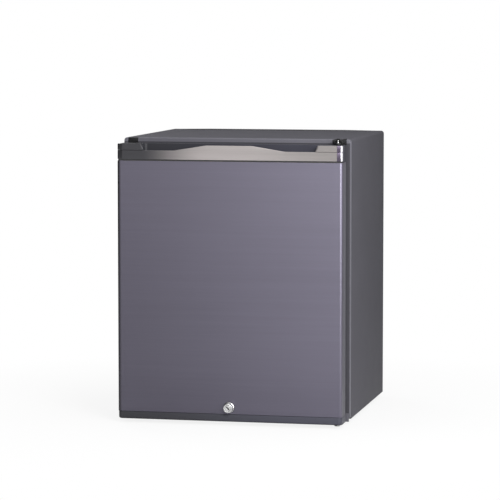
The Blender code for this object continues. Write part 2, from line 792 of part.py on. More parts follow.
def make_door_skin():
    """Brushed metal panel that folds round the door's sides, with the lock's hole."""
    shape = prism(wrapped_skin(DOOR_SKIN_T), "z", PANEL_LOW, PANEL_HIGH)
    panel = piece("door_panel", shape, "door_metal", "door")
    cut(panel, lock_hole(DOOR_FRONT - SHEET_T, DOOR_BACK), "door")


def lock_hole(low, high):
    """Hole for the lock's body."""
    return rod("y", (0, LOCK_Z), LOCK_BODY_R + RUN, low, high)


def make_door_sides():
    """Plastic profiles up both sides of the door, behind the folded skin."""
    front = DOOR_FRONT + DOOR_SKIN_RETURN + SEAT
    for name, side in (("door_side_left", -1), ("door_side_right", 1)):
        outline = [
            (side * DOOR_HALF, front),
            (side * DOOR_HALF, DOOR_BACK - DOOR_BACK_CHAMFER),
            (side * (DOOR_HALF - DOOR_BACK_CHAMFER), DOOR_BACK),
            (side * (DOOR_HALF - SIDE_PROFILE_W), DOOR_BACK),
            (side * (DOOR_HALF - SIDE_PROFILE_W), front),
        ]
        piece(name, prism(outline, "z", PANEL_LOW, PANEL_HIGH), "frame_plastic", "door")


def cap_outline(front, inset, radius):
    """Plan outline of a door cap: round front corners and chamfered rear ones."""
    half = DOOR_HALF - inset
    back = DOOR_BACK
    points = arc((-half + radius, front + radius), radius, 180, 270, CORNER_STEPS)
    points += arc((half - radius, front + radius), radius, 270, 360, CORNER_STEPS)
    points += [(half, back - DOOR_BACK_CHAMFER), (half - DOOR_BACK_CHAMFER, back)]
    points += [(-half + DOOR_BACK_CHAMFER, back), (-half, back - DOOR_BACK_CHAMFER)]
    return points


def make_top_cap():
    """Top of the door: two finger hollows make one trough behind the wavy front wall."""
    inset = STRIP_T + SEAT
    outline = cap_outline(DOOR_FRONT + inset, inset, DOOR_EDGE_R)
    cap = piece("door_top_cap", prism(outline, "z", CAP_LOW, DOOR_HIGH), "dark_plastic", "door")
    half = STRIP_POCKET_HALF + STRIP_BLOCK_SLANT
    wall = DOOR_FRONT + inset + TROUGH_WALL
    trough = rounded(-half, half, wall, DOOR_FRONT + TROUGH_BACK, 6 * MM)
    cut(cap, prism(trough, "z", DOOR_HIGH - TROUGH_DEPTH, DOOR_HIGH + 2 * MM), "door")
    cut(cap, prism(wave_above(2 * MM), "y", DOOR_FRONT, wall + 1 * MM), "door")
    bore = rod("z", (HINGE_X, HINGE_Y), bush_radius() + SEAT, DOOR_HIGH - TROUGH_DEPTH, DOOR_HIGH + 2 * MM)
    cut(cap, bore, "door")


def bush_radius():
    """Outer radius of a hinge bush."""
    return HINGE_PIN_R + RUN + HINGE_BUSH_T


def make_bottom_cap():
    """Dark cap along the door's bottom edge."""
    soft = 3 * MM
    sections = (
        (cap_outline(DOOR_FRONT + soft, soft, DOOR_EDGE_R), DOOR_LOW),
        (cap_outline(DOOR_FRONT, 0, DOOR_EDGE_R + soft), DOOR_LOW + soft),
        (cap_outline(DOOR_FRONT, 0, DOOR_EDGE_R + soft), DOOR_LOW + BOTTOM_CAP_H),
    )
    cap = piece("door_bottom_cap", loft(sections, "z"), "dark_plastic", "door")
    top = DOOR_LOW + BOTTOM_CAP_H
    cut(cap, rod("z", (HINGE_X, HINGE_Y), bush_radius() + SEAT, DOOR_LOW - 2 * MM, top - 1 * MM), "door")


def make_bushes():
    """Nylon bushes in the two caps, turning on the hinge pins."""
    inner = HINGE_PIN_R + RUN
    limits = {
        "top_bush": (DOOR_HIGH - TROUGH_DEPTH + SEAT, DOOR_HIGH - SEAT),
        "lower_bush": (DOOR_LOW + SEAT, DOOR_LOW + BOTTOM_CAP_H - 1 * MM - SEAT),
    }
    for name, (low, high) in limits.items():
        profile = ((inner, low), (bush_radius(), low), (bush_radius(), high), (inner, high))
        piece(name, turned(profile, "z", (HINGE_X, HINGE_Y), ring=True), "nylon", "door")


def make_handle_strip():
    """Brushed steel strip across the door's top, its upper edge in a long low wave."""
    low = CAP_LOW + SEAT
    shape = prism(wrapped_skin(STRIP_T), "z", low, DOOR_HIGH - STRIP_HIGH + 1 * MM)
    strip = piece("handle_strip", shape, "handle_steel", "door")
    low_line = DOOR_HIGH - STRIP_LOW
    above = [
        (-DOOR_HALF - 1 * MM, low_line),
        (-STRIP_SLOPE_HALF, low_line),
        (-STRIP_BULGE_HALF, DOOR_HIGH - STRIP_HIGH),
        (STRIP_BULGE_HALF, DOOR_HIGH - STRIP_HIGH),
        (STRIP_SLOPE_HALF, low_line),
        (DOOR_HALF + 1 * MM, low_line),
        (DOOR_HALF + 1 * MM, DOOR_HIGH + 2 * MM),
        (-DOOR_HALF - 1 * MM, DOOR_HIGH + 2 * MM),
    ]
    cut(strip, prism(above, "y", DOOR_FRONT - 2 * MM, DOOR_FRONT + 2 * DOOR_SKIN_RETURN), "door")


def make_end_blocks():
    """Silver corner pieces over both ends of the strip, with a slanted inner end."""
    low = DOOR_HIGH - STRIP_LOW + SEAT
    skin = wrapped_skin(STRIP_T)
    for name, side in (("end_block_left", -1), ("end_block_right", 1)):
        block_piece = piece(name, prism(skin, "z", low, DOOR_HIGH), "handle_steel", "door")
        away = [
            (side * STRIP_POCKET_HALF, low - 1 * MM),
            (side * STRIP_POCKET_HALF, low),
            (side * (STRIP_POCKET_HALF + STRIP_BLOCK_SLANT), DOOR_HIGH),
            (side * (STRIP_POCKET_HALF + STRIP_BLOCK_SLANT), DOOR_HIGH + 1 * MM),
            (-side * HALF_W, DOOR_HIGH + 1 * MM),
            (-side * HALF_W, low - 1 * MM),
        ]
        reach = DOOR_FRONT + 2 * DOOR_SKIN_RETURN
        cut(block_piece, prism(away, "y", DOOR_FRONT - 2 * MM, reach), "door")


def make_door_foam():
    """Foam core of the door."""
    half = DOOR_HALF - SIDE_PROFILE_W - SEAT
    y = (DOOR_FRONT + DOOR_SKIN_T + SEAT, DOOR_BACK)
    foam = piece("door_foam", block((-half, half), y, (PANEL_LOW, PANEL_HIGH)), "foam", "door")
    cut(foam, lock_hole(DOOR_FRONT, DOOR_BACK + SHEET_T), "door")


def make_door_liner():
    """White inner face of the door: a raised plug with two cheeks and ledges for the racks."""
    edge = DOOR_HALF - DOOR_LINER_EDGE
    outer = rounded(-edge, edge, DOOR_LOW + 5 * MM, DOOR_HIGH - DOOR_LINER_EDGE, 4 * MM)
    t = DOOR_LINER_T
    sections = (
        (plug_loop(-PLUG_DRAFT - t), PLUG_REACH - t),
        (plug_loop(-t), DOOR_FLANGE),
        (outer, DOOR_FLANGE),
        (outer, DOOR_INNER),
        (plug_loop(0), DOOR_INNER),
        (plug_loop(-PLUG_DRAFT), PLUG_REACH),
    )
    liner = piece("door_liner", loft(sections, "y"), "white_plastic", "door")
    out = PLUG_HALF - PLUG_DRAFT - 1 * MM
    inner = out - CHEEK_T
    for side in (-1, 1):
        x = sorted((side * inner, side * out))
        z = (PLUG_LOW + 2 * PLUG_DRAFT, PLUG_HIGH - 2 * PLUG_DRAFT)
        join(liner, block(x, (PLUG_REACH - t / 2, PLUG_REACH + CHEEK_REACH), z), "door")
        for level in (UPPER_RACK_Z, LOWER_RACK_Z):
            x = sorted((side * (inner - LEDGE_REACH), side * (inner + CHEEK_T / 2)))
            y = (PLUG_REACH + CHEEK_T, PLUG_REACH + CHEEK_REACH - CHEEK_T)
            join(liner, block(x, y, (level - SEAT - LEDGE_H, level - SEAT)), "door")
    cut(liner, lock_hole(DOOR_BACK, DOOR_INNER + SHEET_T), "door")


def plug_loop(grow):
    """Rounded rectangle of the door liner's plug, grown on all sides."""
    return rounded(
        -PLUG_HALF - grow, PLUG_HALF + grow, PLUG_LOW - grow, PLUG_HIGH + grow, LINER_CORNER_R
    )


def make_gasket():
    """Magnetic seal: a bellows ring between the door liner and the seal face."""
    out_x = HALF_W - FRAME_SIDE - GASKET_INSET
    low = FRAME_BOTTOM + GASKET_INSET + 1 * MM
    high = CABINET_H - FRAME_TOP - GASKET_INSET - 1 * MM
    base = DOOR_INNER + SEAT
    tip = -SEAT
    depth = tip - base
    waist = GASKET_W * 0.22
    section = (
        (0, base),
        (0, base + depth * 0.25),
        (waist, base + depth * 0.5),
        (waist / 3, base + depth * 0.75),
        (waist / 3, tip),
        (GASKET_W - waist / 3, tip),
        (GASKET_W - waist / 3, base + depth * 0.75),
        (GASKET_W - waist, base + depth * 0.5),
        (GASKET_W, base + depth * 0.25),
        (GASKET_W, base),
    )
    corner = 10 * MM
    loops = []
    for inset, level in section:
        radius = max(corner - inset, 2 * MM)
        loop = rounded(-out_x + inset, out_x - inset, low + inset, high - inset, radius)
        loops.append((loop, level))
    piece("door_gasket", loft(loops, "y", ring=True), "seal_rubber", "door")


def open_bin(x, y, z, wall, radius):
    """Open-topped box with even walls."""
    outer = rounded(x[0], x[1], y[0], y[1], radius)
    inner = rounded(x[0] + wall, x[1] - wall, y[0] + wall, y[1] - wall, radius - wall / 2)
    return loft(((outer, z[0]), (outer, z[1]), (inner, z[1]), (inner, z[0] + wall)), "z")


def make_racks():
    """Two open bins that hang between the door liner's cheeks and lift off."""
    half = PLUG_HALF - PLUG_DRAFT - 1 * MM - CHEEK_T - SEAT
    y = (PLUG_REACH + SEAT, PLUG_REACH + RACK_REACH)
    for name, low, height in (
        ("upper_rack", UPPER_RACK_Z, UPPER_RACK_H),
        ("lower_rack", LOWER_RACK_Z, LOWER_RACK_H),
    ):
        shape = open_bin((-half, half), y, (low, low + height), RACK_WALL, 7 * MM)
        piece(name, shape, "clear_plastic", "door")


def make_lock():
    """Cylinder lock through the door, with a cam that turns down behind the strike."""
    centre = (0, LOCK_Z)
    front = DOOR_FRONT - LOCK_PROUD
    shoulder = DOOR_FRONT - SEAT
    bore = LOCK_PLUG_R + RUN
    body_end = DOOR_INNER + SEAT + LOCK_NUT_T + 1 * MM
    housing = (
        (bore, front),
        (LOCK_HEAD_R - 0.8 * MM, front),
        (LOCK_HEAD_R, front + 0.8 * MM),
        (LOCK_HEAD_R, shoulder),
        (LOCK_BODY_R, shoulder),
        (LOCK_BODY_R, body_end),
        (bore, body_end),
    )
    piece("lock_housing", turned(housing, "y", centre, ring=True, steps=24), "chrome", "door")
    nut_low = DOOR_INNER + SEAT
    nut_bore = LOCK_BODY_R + RUN
    nut = ((nut_bore, nut_low), (LOCK_NUT_R, nut_low), (LOCK_NUT_R, nut_low + LOCK_NUT_T))
    nut += ((nut_bore, nut_low + LOCK_NUT_T),)
    piece("lock_nut", turned(nut, "y", centre, ring=True, steps=24), "zinc_steel", "door")
    cam_back = -CAM_OFF_FACE
    cam_front = cam_back - CAM_T
    rivet_r = LOCK_TAIL_R + 1.6 * MM
    plug = (
        (0, front + SEAT),
        (LOCK_PLUG_R, front + SEAT),
        (LOCK_PLUG_R, cam_front - SEAT),
        (LOCK_TAIL_R, cam_front - SEAT),
        (LOCK_TAIL_R, cam_back + SEAT),
        (rivet_r, cam_back + SEAT),
        (rivet_r, cam_back + SEAT + 1.5 * MM),
        (0, cam_back + SEAT + 1.5 * MM),
    )
    at_axis = (0, front, LOCK_Z)
    shape = turned(plug, "y", centre, steps=24)
    barrel = piece("lock_plug", shape, "chrome", "door", at_axis)
    slot = block((-KEY_SLOT_L / 2, KEY_SLOT_L / 2), (-1 * MM, KEY_SLOT_D), (-KEY_SLOT_W / 2, KEY_SLOT_W / 2))
    slot.transform(Matrix.Translation(at_axis) @ Matrix.Rotation(math.radians(-45), 4, "Y"))
    cut(barrel, slot, "door")
    half = CAM_W / 2
    tip = arc((CAM_REACH - half, LOCK_Z), half, -90, 90, 6)
    root = arc((0, LOCK_Z), half, 90, 270, 6)
    cam = piece("lock_cam", prism(tip + root, "y", cam_front, cam_back), "zinc_steel", "door", at_axis)
    cut(cam, rod("y", centre, LOCK_TAIL_R + SEAT, cam_front - CAM_T, cam_back + CAM_T), "door")


def make_strike():
    """Hooked plate on the frame's bottom bar that the cam turns behind."""
    lip_back = -CAM_OFF_FACE - CAM_T - 1 * MM
    lip_front = lip_back - STRIKE_T
    tip = LOCK_Z - CAM_REACH
    floor = tip - 2.5 * MM - STRIKE_T
    outline = [
        (lip_front, floor),
        (-SEAT, floor),
        (-SEAT, tip + STRIKE_LAP + 3 * MM),
        (-SEAT - STRIKE_T, tip + STRIKE_LAP + 3 * MM),
        (-SEAT - STRIKE_T, floor + STRIKE_T),
        (lip_back, floor + STRIKE_T),
        (lip_back, tip + STRIKE_LAP),
        (lip_front, tip + STRIKE_LAP),
    ]
    piece("strike_plate", prism(outline, "x", -STRIKE_HALF, STRIKE_HALF), "zinc_steel")


def make_switch():
    """Plunger of the lamp switch, held in by the closed door."""
    tip = DOOR_INNER + SEAT
    centre = (SWITCH_X, SWITCH_UP)
    profile = (
        (0, tip),
        (SWITCH_R * 0.6, tip),
        (SWITCH_R, tip + SWITCH_R / 2),
        (SWITCH_R, SWITCH_IN_FRAME),
        (0, SWITCH_IN_FRAME),
    )
    piece("switch_plunger", turned(profile, "y", centre), "white_plastic", origin=(SWITCH_X, 0, SWITCH_UP))


def make_shelves():
    """Two plates that slide on the liner's ledges, each with a raised front lip."""
    back = LINER_DEPTH - 3 * MM
    half = IN_HALF - LINER_DRAFT - SHELF_SIDE_CLEAR
    for name, level in (("upper_shelf", UPPER_SHELF_Z), ("lower_shelf", LOWER_SHELF_Z)):
        outline = [
            (SHELF_FRONT, level),
            (back, level),
            (back, level + SHELF_T),
            (SHELF_FRONT + 2 * SHELF_T, level + SHELF_T),
            (SHELF_FRONT + SHELF_T, level + SHELF_T + SHELF_LIP),
            (SHELF_FRONT, level + SHELF_T + SHELF_LIP),
        ]
        piece(name, prism(outline, "x", -half, half), "clear_plastic")


def comb(width, levels, fins, fin_t):
    """Plan outline of a finned plate: its flat back, its fins' tips and their roots are levels."""
    pitch = (width - fin_t) / (fins - 1)
    back, front, root = levels
    points = [(width / 2, back), (-width / 2, back)]
    for i in range(fins):
        x = -width / 2 + i * pitch
        if i:
            points.append((x, root))
        points += [(x, front), (x + fin_t, front)]
        if i < fins - 1:
            points.append((x + fin_t, root))
    return points


def make_evaporator():
    """Finned aluminium block that cools the inside."""
    back = LINER_DEPTH - SEAT
    root = back - EVAPORATOR_BASE_T
    front = root - EVAPORATOR_FIN_L
    outline = comb(EVAPORATOR_W, (back, front, root), EVAPORATOR_FINS, FIN_T)
    shape = prism(outline, "z", EVAPORATOR_BOTTOM, EVAPORATOR_BOTTOM + EVAPORATOR_H)
    piece("evaporator", shape, "aluminium")


def tray_floor():
    """Underside of the drip tray."""
    return EVAPORATOR_BOTTOM - TRAY_BELOW - TRAY_H


def make_drip_tray():
    """Open tray under the evaporator, sliding out on two ledges."""
    low = tray_floor()
    y = (LINER_DEPTH - SEAT - TRAY_D, LINER_DEPTH - 1 * MM)
    shape = open_bin((-TRAY_W / 2, TRAY_W / 2), y, (low, low + TRAY_H), TRAY_WALL, 4 * MM)
    piece("drip_tray", shape, "clear_plastic")


def liner_narrowing(depth):
    """How far the tapered liner has drawn in at a depth behind the cabinet's front face."""
    lip = SEAL_FACE_T + SEAT
    return LINER_DRAFT * (depth - lip) / (LINER_DEPTH - lip)


def make_thermostat():
    """Thermostat housing in the upper right corner with its turning knob."""
    front = THERMOSTAT_FRONT
    seat = liner_narrowing(front + THERMOSTAT_D) + SEAT
    right = IN_HALF - seat
    top = IN_HIGH - seat
    outline = rounded(right - THERMOSTAT_W, right, top - THERMOSTAT_H, top, LINER_CORNER_R)
    box = piece("thermostat_box", prism(outline, "y", front, front + THERMOSTAT_D), "white_plastic")
    centre = (right - THERMOSTAT_W / 2, top - THERMOSTAT_H / 2)
    shaft_end = front + KNOB_SHAFT_L
    cut(box, rod("y", centre, KNOB_SHAFT_R + RUN, front - 1 * MM, shaft_end + SEAT))
    base = front - SEAT
    face = base - KNOB_H
    profile = (
        (0, face),
        (KNOB_R * 0.84, face),
        (KNOB_R * 0.92, face + 1.2 * MM),
        (KNOB_R, base),
        (KNOB_SHAFT_R, base),
        (KNOB_SHAFT_R, shaft_end),
        (0, shaft_end),
    )
    shape = turned(profile, "y", centre, steps=24)
    knob = piece("thermostat_knob", shape, "white_plastic", origin=(centre[0], base, centre[1]))
    half = KNOB_RIDGE_W / 2
    x = (centre[0] - half, centre[0] + half)
    z = (centre[1] - KNOB_R * 0.7, centre[1] + KNOB_R * 0.8)
    join(knob, block(x, (face - 4 * MM, face + 1 * MM), z))


def make_lamp():
    """Lamp cover on the liner's ceiling."""
    top = IN_HIGH - liner_narrowing(LAMP_FRONT + LAMP_D) - SEAT
    x = (-LAMP_W / 2, LAMP_W / 2)
    shape = block(x, (LAMP_FRONT, LAMP_FRONT + LAMP_D), (top - LAMP_H, top), 1.5 * MM)
    piece("lamp_cover", shape, "clear_plastic")


def make_vessel():
    """Horizontal vessel with domed ends at the foot of the cooling unit."""
    dome = VESSEL_R * 0.6
    half = VESSEL_HALF - dome
    right = [(VESSEL_R * math.cos(math.radians(a)), half + dome * math.sin(math.radians(a))) for a in (0, 35, 65)]
    right.append((0, half + dome))
    left = [(radius, -level) for radius, level in reversed(right)]
    piece("absorber_vessel", turned(left + right, "x", (UNIT_Y, VESSEL_Z)), "black_enamel")


def make_coil():
    """Flat winding pipe above the vessel."""
    corners = []
    for i in range(COIL_RUNS):
        z = COIL_BOTTOM + i * COIL_PITCH
        ends = [(COIL_LEFT, UNIT_Y, z), (COIL_RIGHT, UNIT_Y, z)]
        corners += ends if i % 2 == 0 else ends[::-1]
    corners[-1] = (PIPE_HOLE_X - PIPE_R - SEAT, UNIT_Y, corners[-1][2])
    tube("absorber_coil", bent_path(corners, COIL_PITCH * 0.48, 4), COIL_R, "black_enamel")
    inlet_x = COIL_LEFT + 2 * VESSEL_R
    low = Vector((inlet_x, UNIT_Y, VESSEL_Z + VESSEL_R + SEAT))
    high = Vector((inlet_x, UNIT_Y, COIL_BOTTOM - COIL_R - SEAT))
    tube("coil_stub", [low, high], COIL_R, "black_enamel")


def make_boiler():
    """Insulated boiler can with the pipe that rises from it to the condenser."""
    half = BOILER_SIDE / 2
    x = (BOILER_X - half, BOILER_X + half)
    y = (PLATE_BACK + SEAT, PLATE_BACK + SEAT + BOILER_SIDE)
    piece("boiler_can", block(x, y, (BOILER_BOTTOM, BOILER_TOP), 3 * MM), "zinc_steel")
    feed_x = BOILER_X + COIL_R * 2
    feed = (
        (feed_x, UNIT_Y, BOILER_BOTTOM - SEAT),
        (feed_x, UNIT_Y, VESSEL_Z),
        (VESSEL_HALF + SEAT, UNIT_Y, VESSEL_Z),
    )
    tube("liquid_pipe", bent_path(feed, 2 * COIL_R), COIL_R, "black_enamel")
    rise = (BOILER_X, UNIT_Y, BOILER_TOP + SEAT)
    turn = (BOILER_X, UNIT_Y, CONDENSER_Z)
    left = (CONDENSER_LEFT - 30 * MM, UNIT_Y, CONDENSER_Z)
    fall = (left[0], UNIT_Y, PIPE_HOLE_Z)
    over = (-PIPE_HOLE_X, UNIT_Y, PIPE_HOLE_Z)
    inside = (-PIPE_HOLE_X, LINER_DEPTH + SEAT, PIPE_HOLE_Z)
    points = bent_path((rise, turn, left, fall, over, inside), 2 * PIPE_R)
    tube("ammonia_pipe", points, PIPE_R, "black_enamel")


def make_condenser():
    """Finned plate that the pipe runs through at the top of the unit."""
    width = CONDENSER_RIGHT - CONDENSER_LEFT
    spine = PLATE_BACK + 2 * CONDENSER_SPINE_T
    levels = (spine, spine + CONDENSER_FIN_D, spine + CONDENSER_SPINE_T)
    middle_x = (CONDENSER_LEFT + CONDENSER_RIGHT) / 2
    outline = [(x + middle_x, y) for x, y in comb(width, levels, CONDENSER_FINS, FIN_T)]
    half = CONDENSER_FIN_H / 2
    shape = prism(outline, "z", CONDENSER_Z - half, CONDENSER_Z + half)
    fins = piece("condenser_fins", shape, "aluminium")
    reach = 2 * FIN_T
    bore = rod(
        "x", (UNIT_Y, CONDENSER_Z), PIPE_R + SEAT, CONDENSER_LEFT - reach, CONDENSER_RIGHT + reach
    )
    cut(fins, bore)


def make_return_pipe():
    """Pipe from the evaporator back down to the vessel."""
    inside = (PIPE_HOLE_X, LINER_DEPTH + SEAT, PIPE_HOLE_Z)
    out = (PIPE_HOLE_X, UNIT_Y, PIPE_HOLE_Z)
    down = (PIPE_HOLE_X, UNIT_Y, VESSEL_Z + VESSEL_R + SEAT)
    tube("return_pipe", bent_path((inside, out, down), 2 * PIPE_R), PIPE_R, "black_enamel")


def make_junction_box():
    """Wiring box on the back plate with the gland of the mains lead under it."""
    x = (JUNCTION_X - JUNCTION_W / 2, JUNCTION_X + JUNCTION_W / 2)
    y = (PLATE_BACK + SEAT, PLATE_BACK + SEAT + JUNCTION_D)
    shape = block(x, y, (JUNCTION_Z, JUNCTION_Z + JUNCTION_H), 2 * MM)
    piece("junction_box", shape, "dark_plastic")
    centre = (JUNCTION_X, PLATE_BACK + SEAT + JUNCTION_D / 2)
    high = JUNCTION_Z - SEAT
    low = high - GLAND_L
    profile = (
        (GLAND_BORE_R, low),
        (GLAND_R * 0.75, low),
        (GLAND_R * 0.85, high - GLAND_L * 0.4),
        (GLAND_R, high - GLAND_L * 0.4),
        (GLAND_R, high),
        (GLAND_BORE_R, high),
    )
    piece("cord_gland", turned(profile, "z", centre, ring=True), "dark_plastic")


def build_cabinet():
    """Everything that stays still."""
    make_wrapper()
    make_rear_bar()
    make_base_plate()
    make_back_plate()
    make_front_frame()
    make_seal_face()
    make_liner()
    make_foam()
    make_feet()
    make_hinge_plug()
    make_top_hinge()
    make_lower_hinge()
    make_strike()
    make_switch()
    make_shelves()
    make_evaporator()
    make_drip_tray()
    make_thermostat()
    make_lamp()
    make_vessel()
    make_coil()
    make_boiler()
    make_condenser()
    make_return_pipe()
    make_junction_box()


def build_door():
    """Everything that swings with the door."""
    make_door_skin()
    make_door_sides()
    make_top_cap()
    make_bottom_cap()
    make_bushes()
    make_handle_strip()
    make_end_blocks()
    make_door_foam()
    make_door_liner()
    make_gasket()
    make_racks()
    make_lock()


def main():
    """Build the fridge with its door closed."""
    clear_scene()
    add_carrier("cabinet", (0, FACE_Y, FOOT_H))
    add_carrier("door", (HINGE_X, HINGE_Y, 0), "cabinet")
    build_cabinet()
    build_door()


main()
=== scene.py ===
"""Minibar fridge: fine surfaces, finishes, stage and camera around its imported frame.

X runs to the right across the front, Y towards the back and Z up. Shapes and patterns are worked out
in millimetres and become metres in add_piece, softened and Recipe; stage and settings are in metres.
Each operator makes one piece or one group of like pieces and lets it ride on its body.
"""

import json
import math

import bmesh
import bpy
import numpy as np
from bpy.props import FloatProperty, FloatVectorProperty, PointerProperty
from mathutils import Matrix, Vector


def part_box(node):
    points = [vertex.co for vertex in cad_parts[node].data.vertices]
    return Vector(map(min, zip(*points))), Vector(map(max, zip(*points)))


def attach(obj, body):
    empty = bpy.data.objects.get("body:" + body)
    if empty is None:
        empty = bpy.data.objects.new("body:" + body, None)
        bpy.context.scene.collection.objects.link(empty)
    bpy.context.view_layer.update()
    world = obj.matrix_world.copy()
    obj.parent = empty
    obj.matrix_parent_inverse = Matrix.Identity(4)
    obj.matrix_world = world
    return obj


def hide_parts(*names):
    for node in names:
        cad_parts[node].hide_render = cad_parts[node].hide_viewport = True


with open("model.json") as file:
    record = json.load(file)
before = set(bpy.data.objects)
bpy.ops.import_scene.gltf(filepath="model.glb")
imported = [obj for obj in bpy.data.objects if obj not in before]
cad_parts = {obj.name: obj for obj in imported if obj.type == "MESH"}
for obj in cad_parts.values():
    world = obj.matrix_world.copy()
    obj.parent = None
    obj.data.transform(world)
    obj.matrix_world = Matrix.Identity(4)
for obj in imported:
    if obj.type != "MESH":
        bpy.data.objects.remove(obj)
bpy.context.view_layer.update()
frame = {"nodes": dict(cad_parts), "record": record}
NODES = frame["nodes"]
RECORD_COLOURS = {
    material["slot"]: tuple(material["base_color"][:3]) for material in frame["record"]["materials"]
}

bl_info = {
    "name": "Minibar Fridge",
    "version": (1, 0, 0),
    "blender": (4, 5, 0),
    "location": "3D View > Sidebar > Fridge",
    "description": "Fine surfaces, finishes, stage and camera of a lockable minibar fridge",
    "category": "Object",
}

MM = 0.001

# Gap that a new piece keeps to a neighbour, and the sharpest edge in degrees that shades smooth.
SEAT = 0.3
SMOOTH_ANGLE = 38

# Handle strip: half widths of its parts from the middle outwards, and depths below the blocks' top.
STRIP_BULGE_HALF = 40
STRIP_SLOPE_HALF = 97.5
STRIP_POCKET_HALF = 150
STRIP_BLOCK_SLANT = 4.5
STRIP_LOW = 11
STRIP_HIGH = 1.8
STRIP_FRONT_HALF = 187.8
STRIP_NOSE_HALF = 194.3
STRIP_SEAM = 1.8
STRIP_T = 2.2

# Slit at the rear of the top, the rail behind it, the lock's flange and the hinge's axis.
SLIT_DEPTH = 20
RAIL_RISE = 0.8
LOCK_FLANGE = 9.2
HINGE = (184, -171)

# Cooling pipes: the plane that they lie in, their radii and the places of their bends.
UNIT_Y = 166.3
COIL_RUNS = 7
COIL_R = 6.5
COIL_TURN_X = -4
PIPE_R = 8
PIPE_HOLE_X = 26
PIPE_HOLE_Z = 394
BOILER_X = 126

# Cool cast that the photo's light gives the paint and the grey plastic, for each channel.
STUDIO_TINT = (0.985, 0.965, 1.05)


def span(node):
    """Lowest and highest corner of a CAD node, in millimetres."""
    return tuple(np.array(corner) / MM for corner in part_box(node))


class Shape:
    """Points with quads and many-sided caps. The volume that the faces enclose is worked out as a
    sum of tetrahedra on the origin, and all faces are turned round where it comes out negative."""

    def __init__(self, points, quads, caps=()):
        self.points = points
        a, b, c, d = (points[quads[:, k]] for k in range(4))
        volume = np.sum(a * (np.cross(b, c) + np.cross(c, d)))
        for cap in caps:
            rim = points[cap]
            volume += np.sum(rim[0] * np.cross(rim[1:-1], rim[2:]))
        step = -1 if volume < 0 else 1
        self.quads = quads[:, ::step]
        self.caps = [cap[::step] for cap in caps]

    def __add__(self, other):
        shift = len(self.points)
        both = Shape.__new__(Shape)
        both.points = np.concatenate((self.points, other.points))
        both.quads = np.concatenate((self.quads, other.quads + shift))
        both.caps = self.caps + [cap + shift for cap in other.caps]
        return both


def joined(shapes):
    """Several shapes as one."""
    whole = shapes[0]
    for shape in shapes[1:]:
        whole = whole + shape
    return whole


def laid(uv, level, axis):
    """Flat points at a level along an axis, as rows of X, Y and Z."""
    u, v = uv[..., 0], uv[..., 1]
    w = np.broadcast_to(level, u.shape)
    return np.stack({"x": (w, u, v), "y": (u, w, v), "z": (u, v, w)}[axis], axis=-1)


def filleted(corners, radius, steps=6, closed=True):
    """Polyline with its corners rounded. An arc touches both sides of a corner: it starts
    radius / tan(half the corner's angle) away, and turns about the centre that is a radius from both."""
    corners = np.asarray(corners, float)
    points = []
    for i, wanted in enumerate(np.broadcast_to(radius, len(corners))):
        at = corners[i]
        if wanted <= 0 or (not closed and i in (0, len(corners) - 1)):
            points.append(at[None])
            continue
        back = corners[i - 1] - at
        ahead = corners[(i + 1) % len(corners)] - at
        shorter = min(np.linalg.norm(back), np.linalg.norm(ahead))
        back = back / np.linalg.norm(back)
        ahead = ahead / np.linalg.norm(ahead)
        half = math.acos(np.clip(back @ ahead, -1, 1)) / 2
        reach = min(wanted / math.tan(half), 0.495 * shorter)
        inside = (back + ahead) / np.linalg.norm(back + ahead)
        centre = at + inside * reach / math.cos(half)
        first = at + back * reach - centre
        last = at + ahead * reach - centre
        sweep = math.pi - 2 * half
        share = np.linspace(0, 1, steps + 1)[:, None]
        mix = np.sin((1 - share) * sweep) * first + np.sin(share * sweep) * last
        points.append(centre + mix / math.sin(sweep))
    return np.concatenate(points)


def rounded_loop(low, high, radius, steps=6):
    """Rectangle with rounded corners, from its two corner points."""
    corners = [(low[0], low[1]), (high[0], low[1]), (high[0], high[1]), (low[0], high[1])]
    return filleted(corners, radius, steps)


def sideways(line, closed=True):
    """Direction to the left of a flat line at each point: the mean of the two sides' normals,
    lengthened so that a step along it moves both sides by the same distance."""
    if closed:
        before = line - np.roll(line, 1, axis=0)
        after = np.roll(line, -1, axis=0) - line
    else:
        leg = np.diff(line, axis=0)
        before = np.concatenate((leg[:1], leg))
        after = np.concatenate((leg, leg[-1:]))
    before = before / np.linalg.norm(before, axis=1, keepdims=True)
    after = after / np.linalg.norm(after, axis=1, keepdims=True)
    mean = before + after
    mean = mean / (1 + np.sum(before * after, axis=1, keepdims=True))
    return np.stack((-mean[:, 1], mean[:, 0]), axis=-1)


def inward(loop, distance):
    """Closed flat loop drawn in by a distance on all sides."""
    x, y = loop[:, 0], loop[:, 1]
    turns = np.sign(np.sum(x * np.roll(y, -1) - y * np.roll(x, -1)))
    return loop + sideways(loop) * distance * turns


def loft(loops, ring=False):
    """Skin over loops of equal length: quads join each loop to the next. The first and last loops
    are capped, or joined to each other when ring is set."""
    loops = np.asarray(loops)
    rows, columns = loops.shape[:2]
    i, j = np.meshgrid(np.arange(rows if ring else rows - 1), np.arange(columns), indexing="ij")
    here = i * columns
    there = (i + 1) % rows * columns
    beside = (j + 1) % columns
    quads = np.stack((here + j, here + beside, there + beside, there + j), axis=-1).reshape(-1, 4)
    caps = [] if ring else [np.arange(columns)[::-1], np.arange((rows - 1) * columns, rows * columns)]
    return Shape(loops.reshape(-1, 3), quads, caps)


def quarter(steps=4):
    """Cosine and sine over a quarter turn."""
    turn = np.linspace(0, math.pi / 2, steps + 1)
    return np.cos(turn), np.sin(turn)


def circle(steps):
    """Angles of a full turn, and their points on a circle of radius 1."""
    angle = np.linspace(0, 2 * math.pi, steps, endpoint=False)
    return angle, np.stack((np.cos(angle), np.sin(angle)), axis=-1)


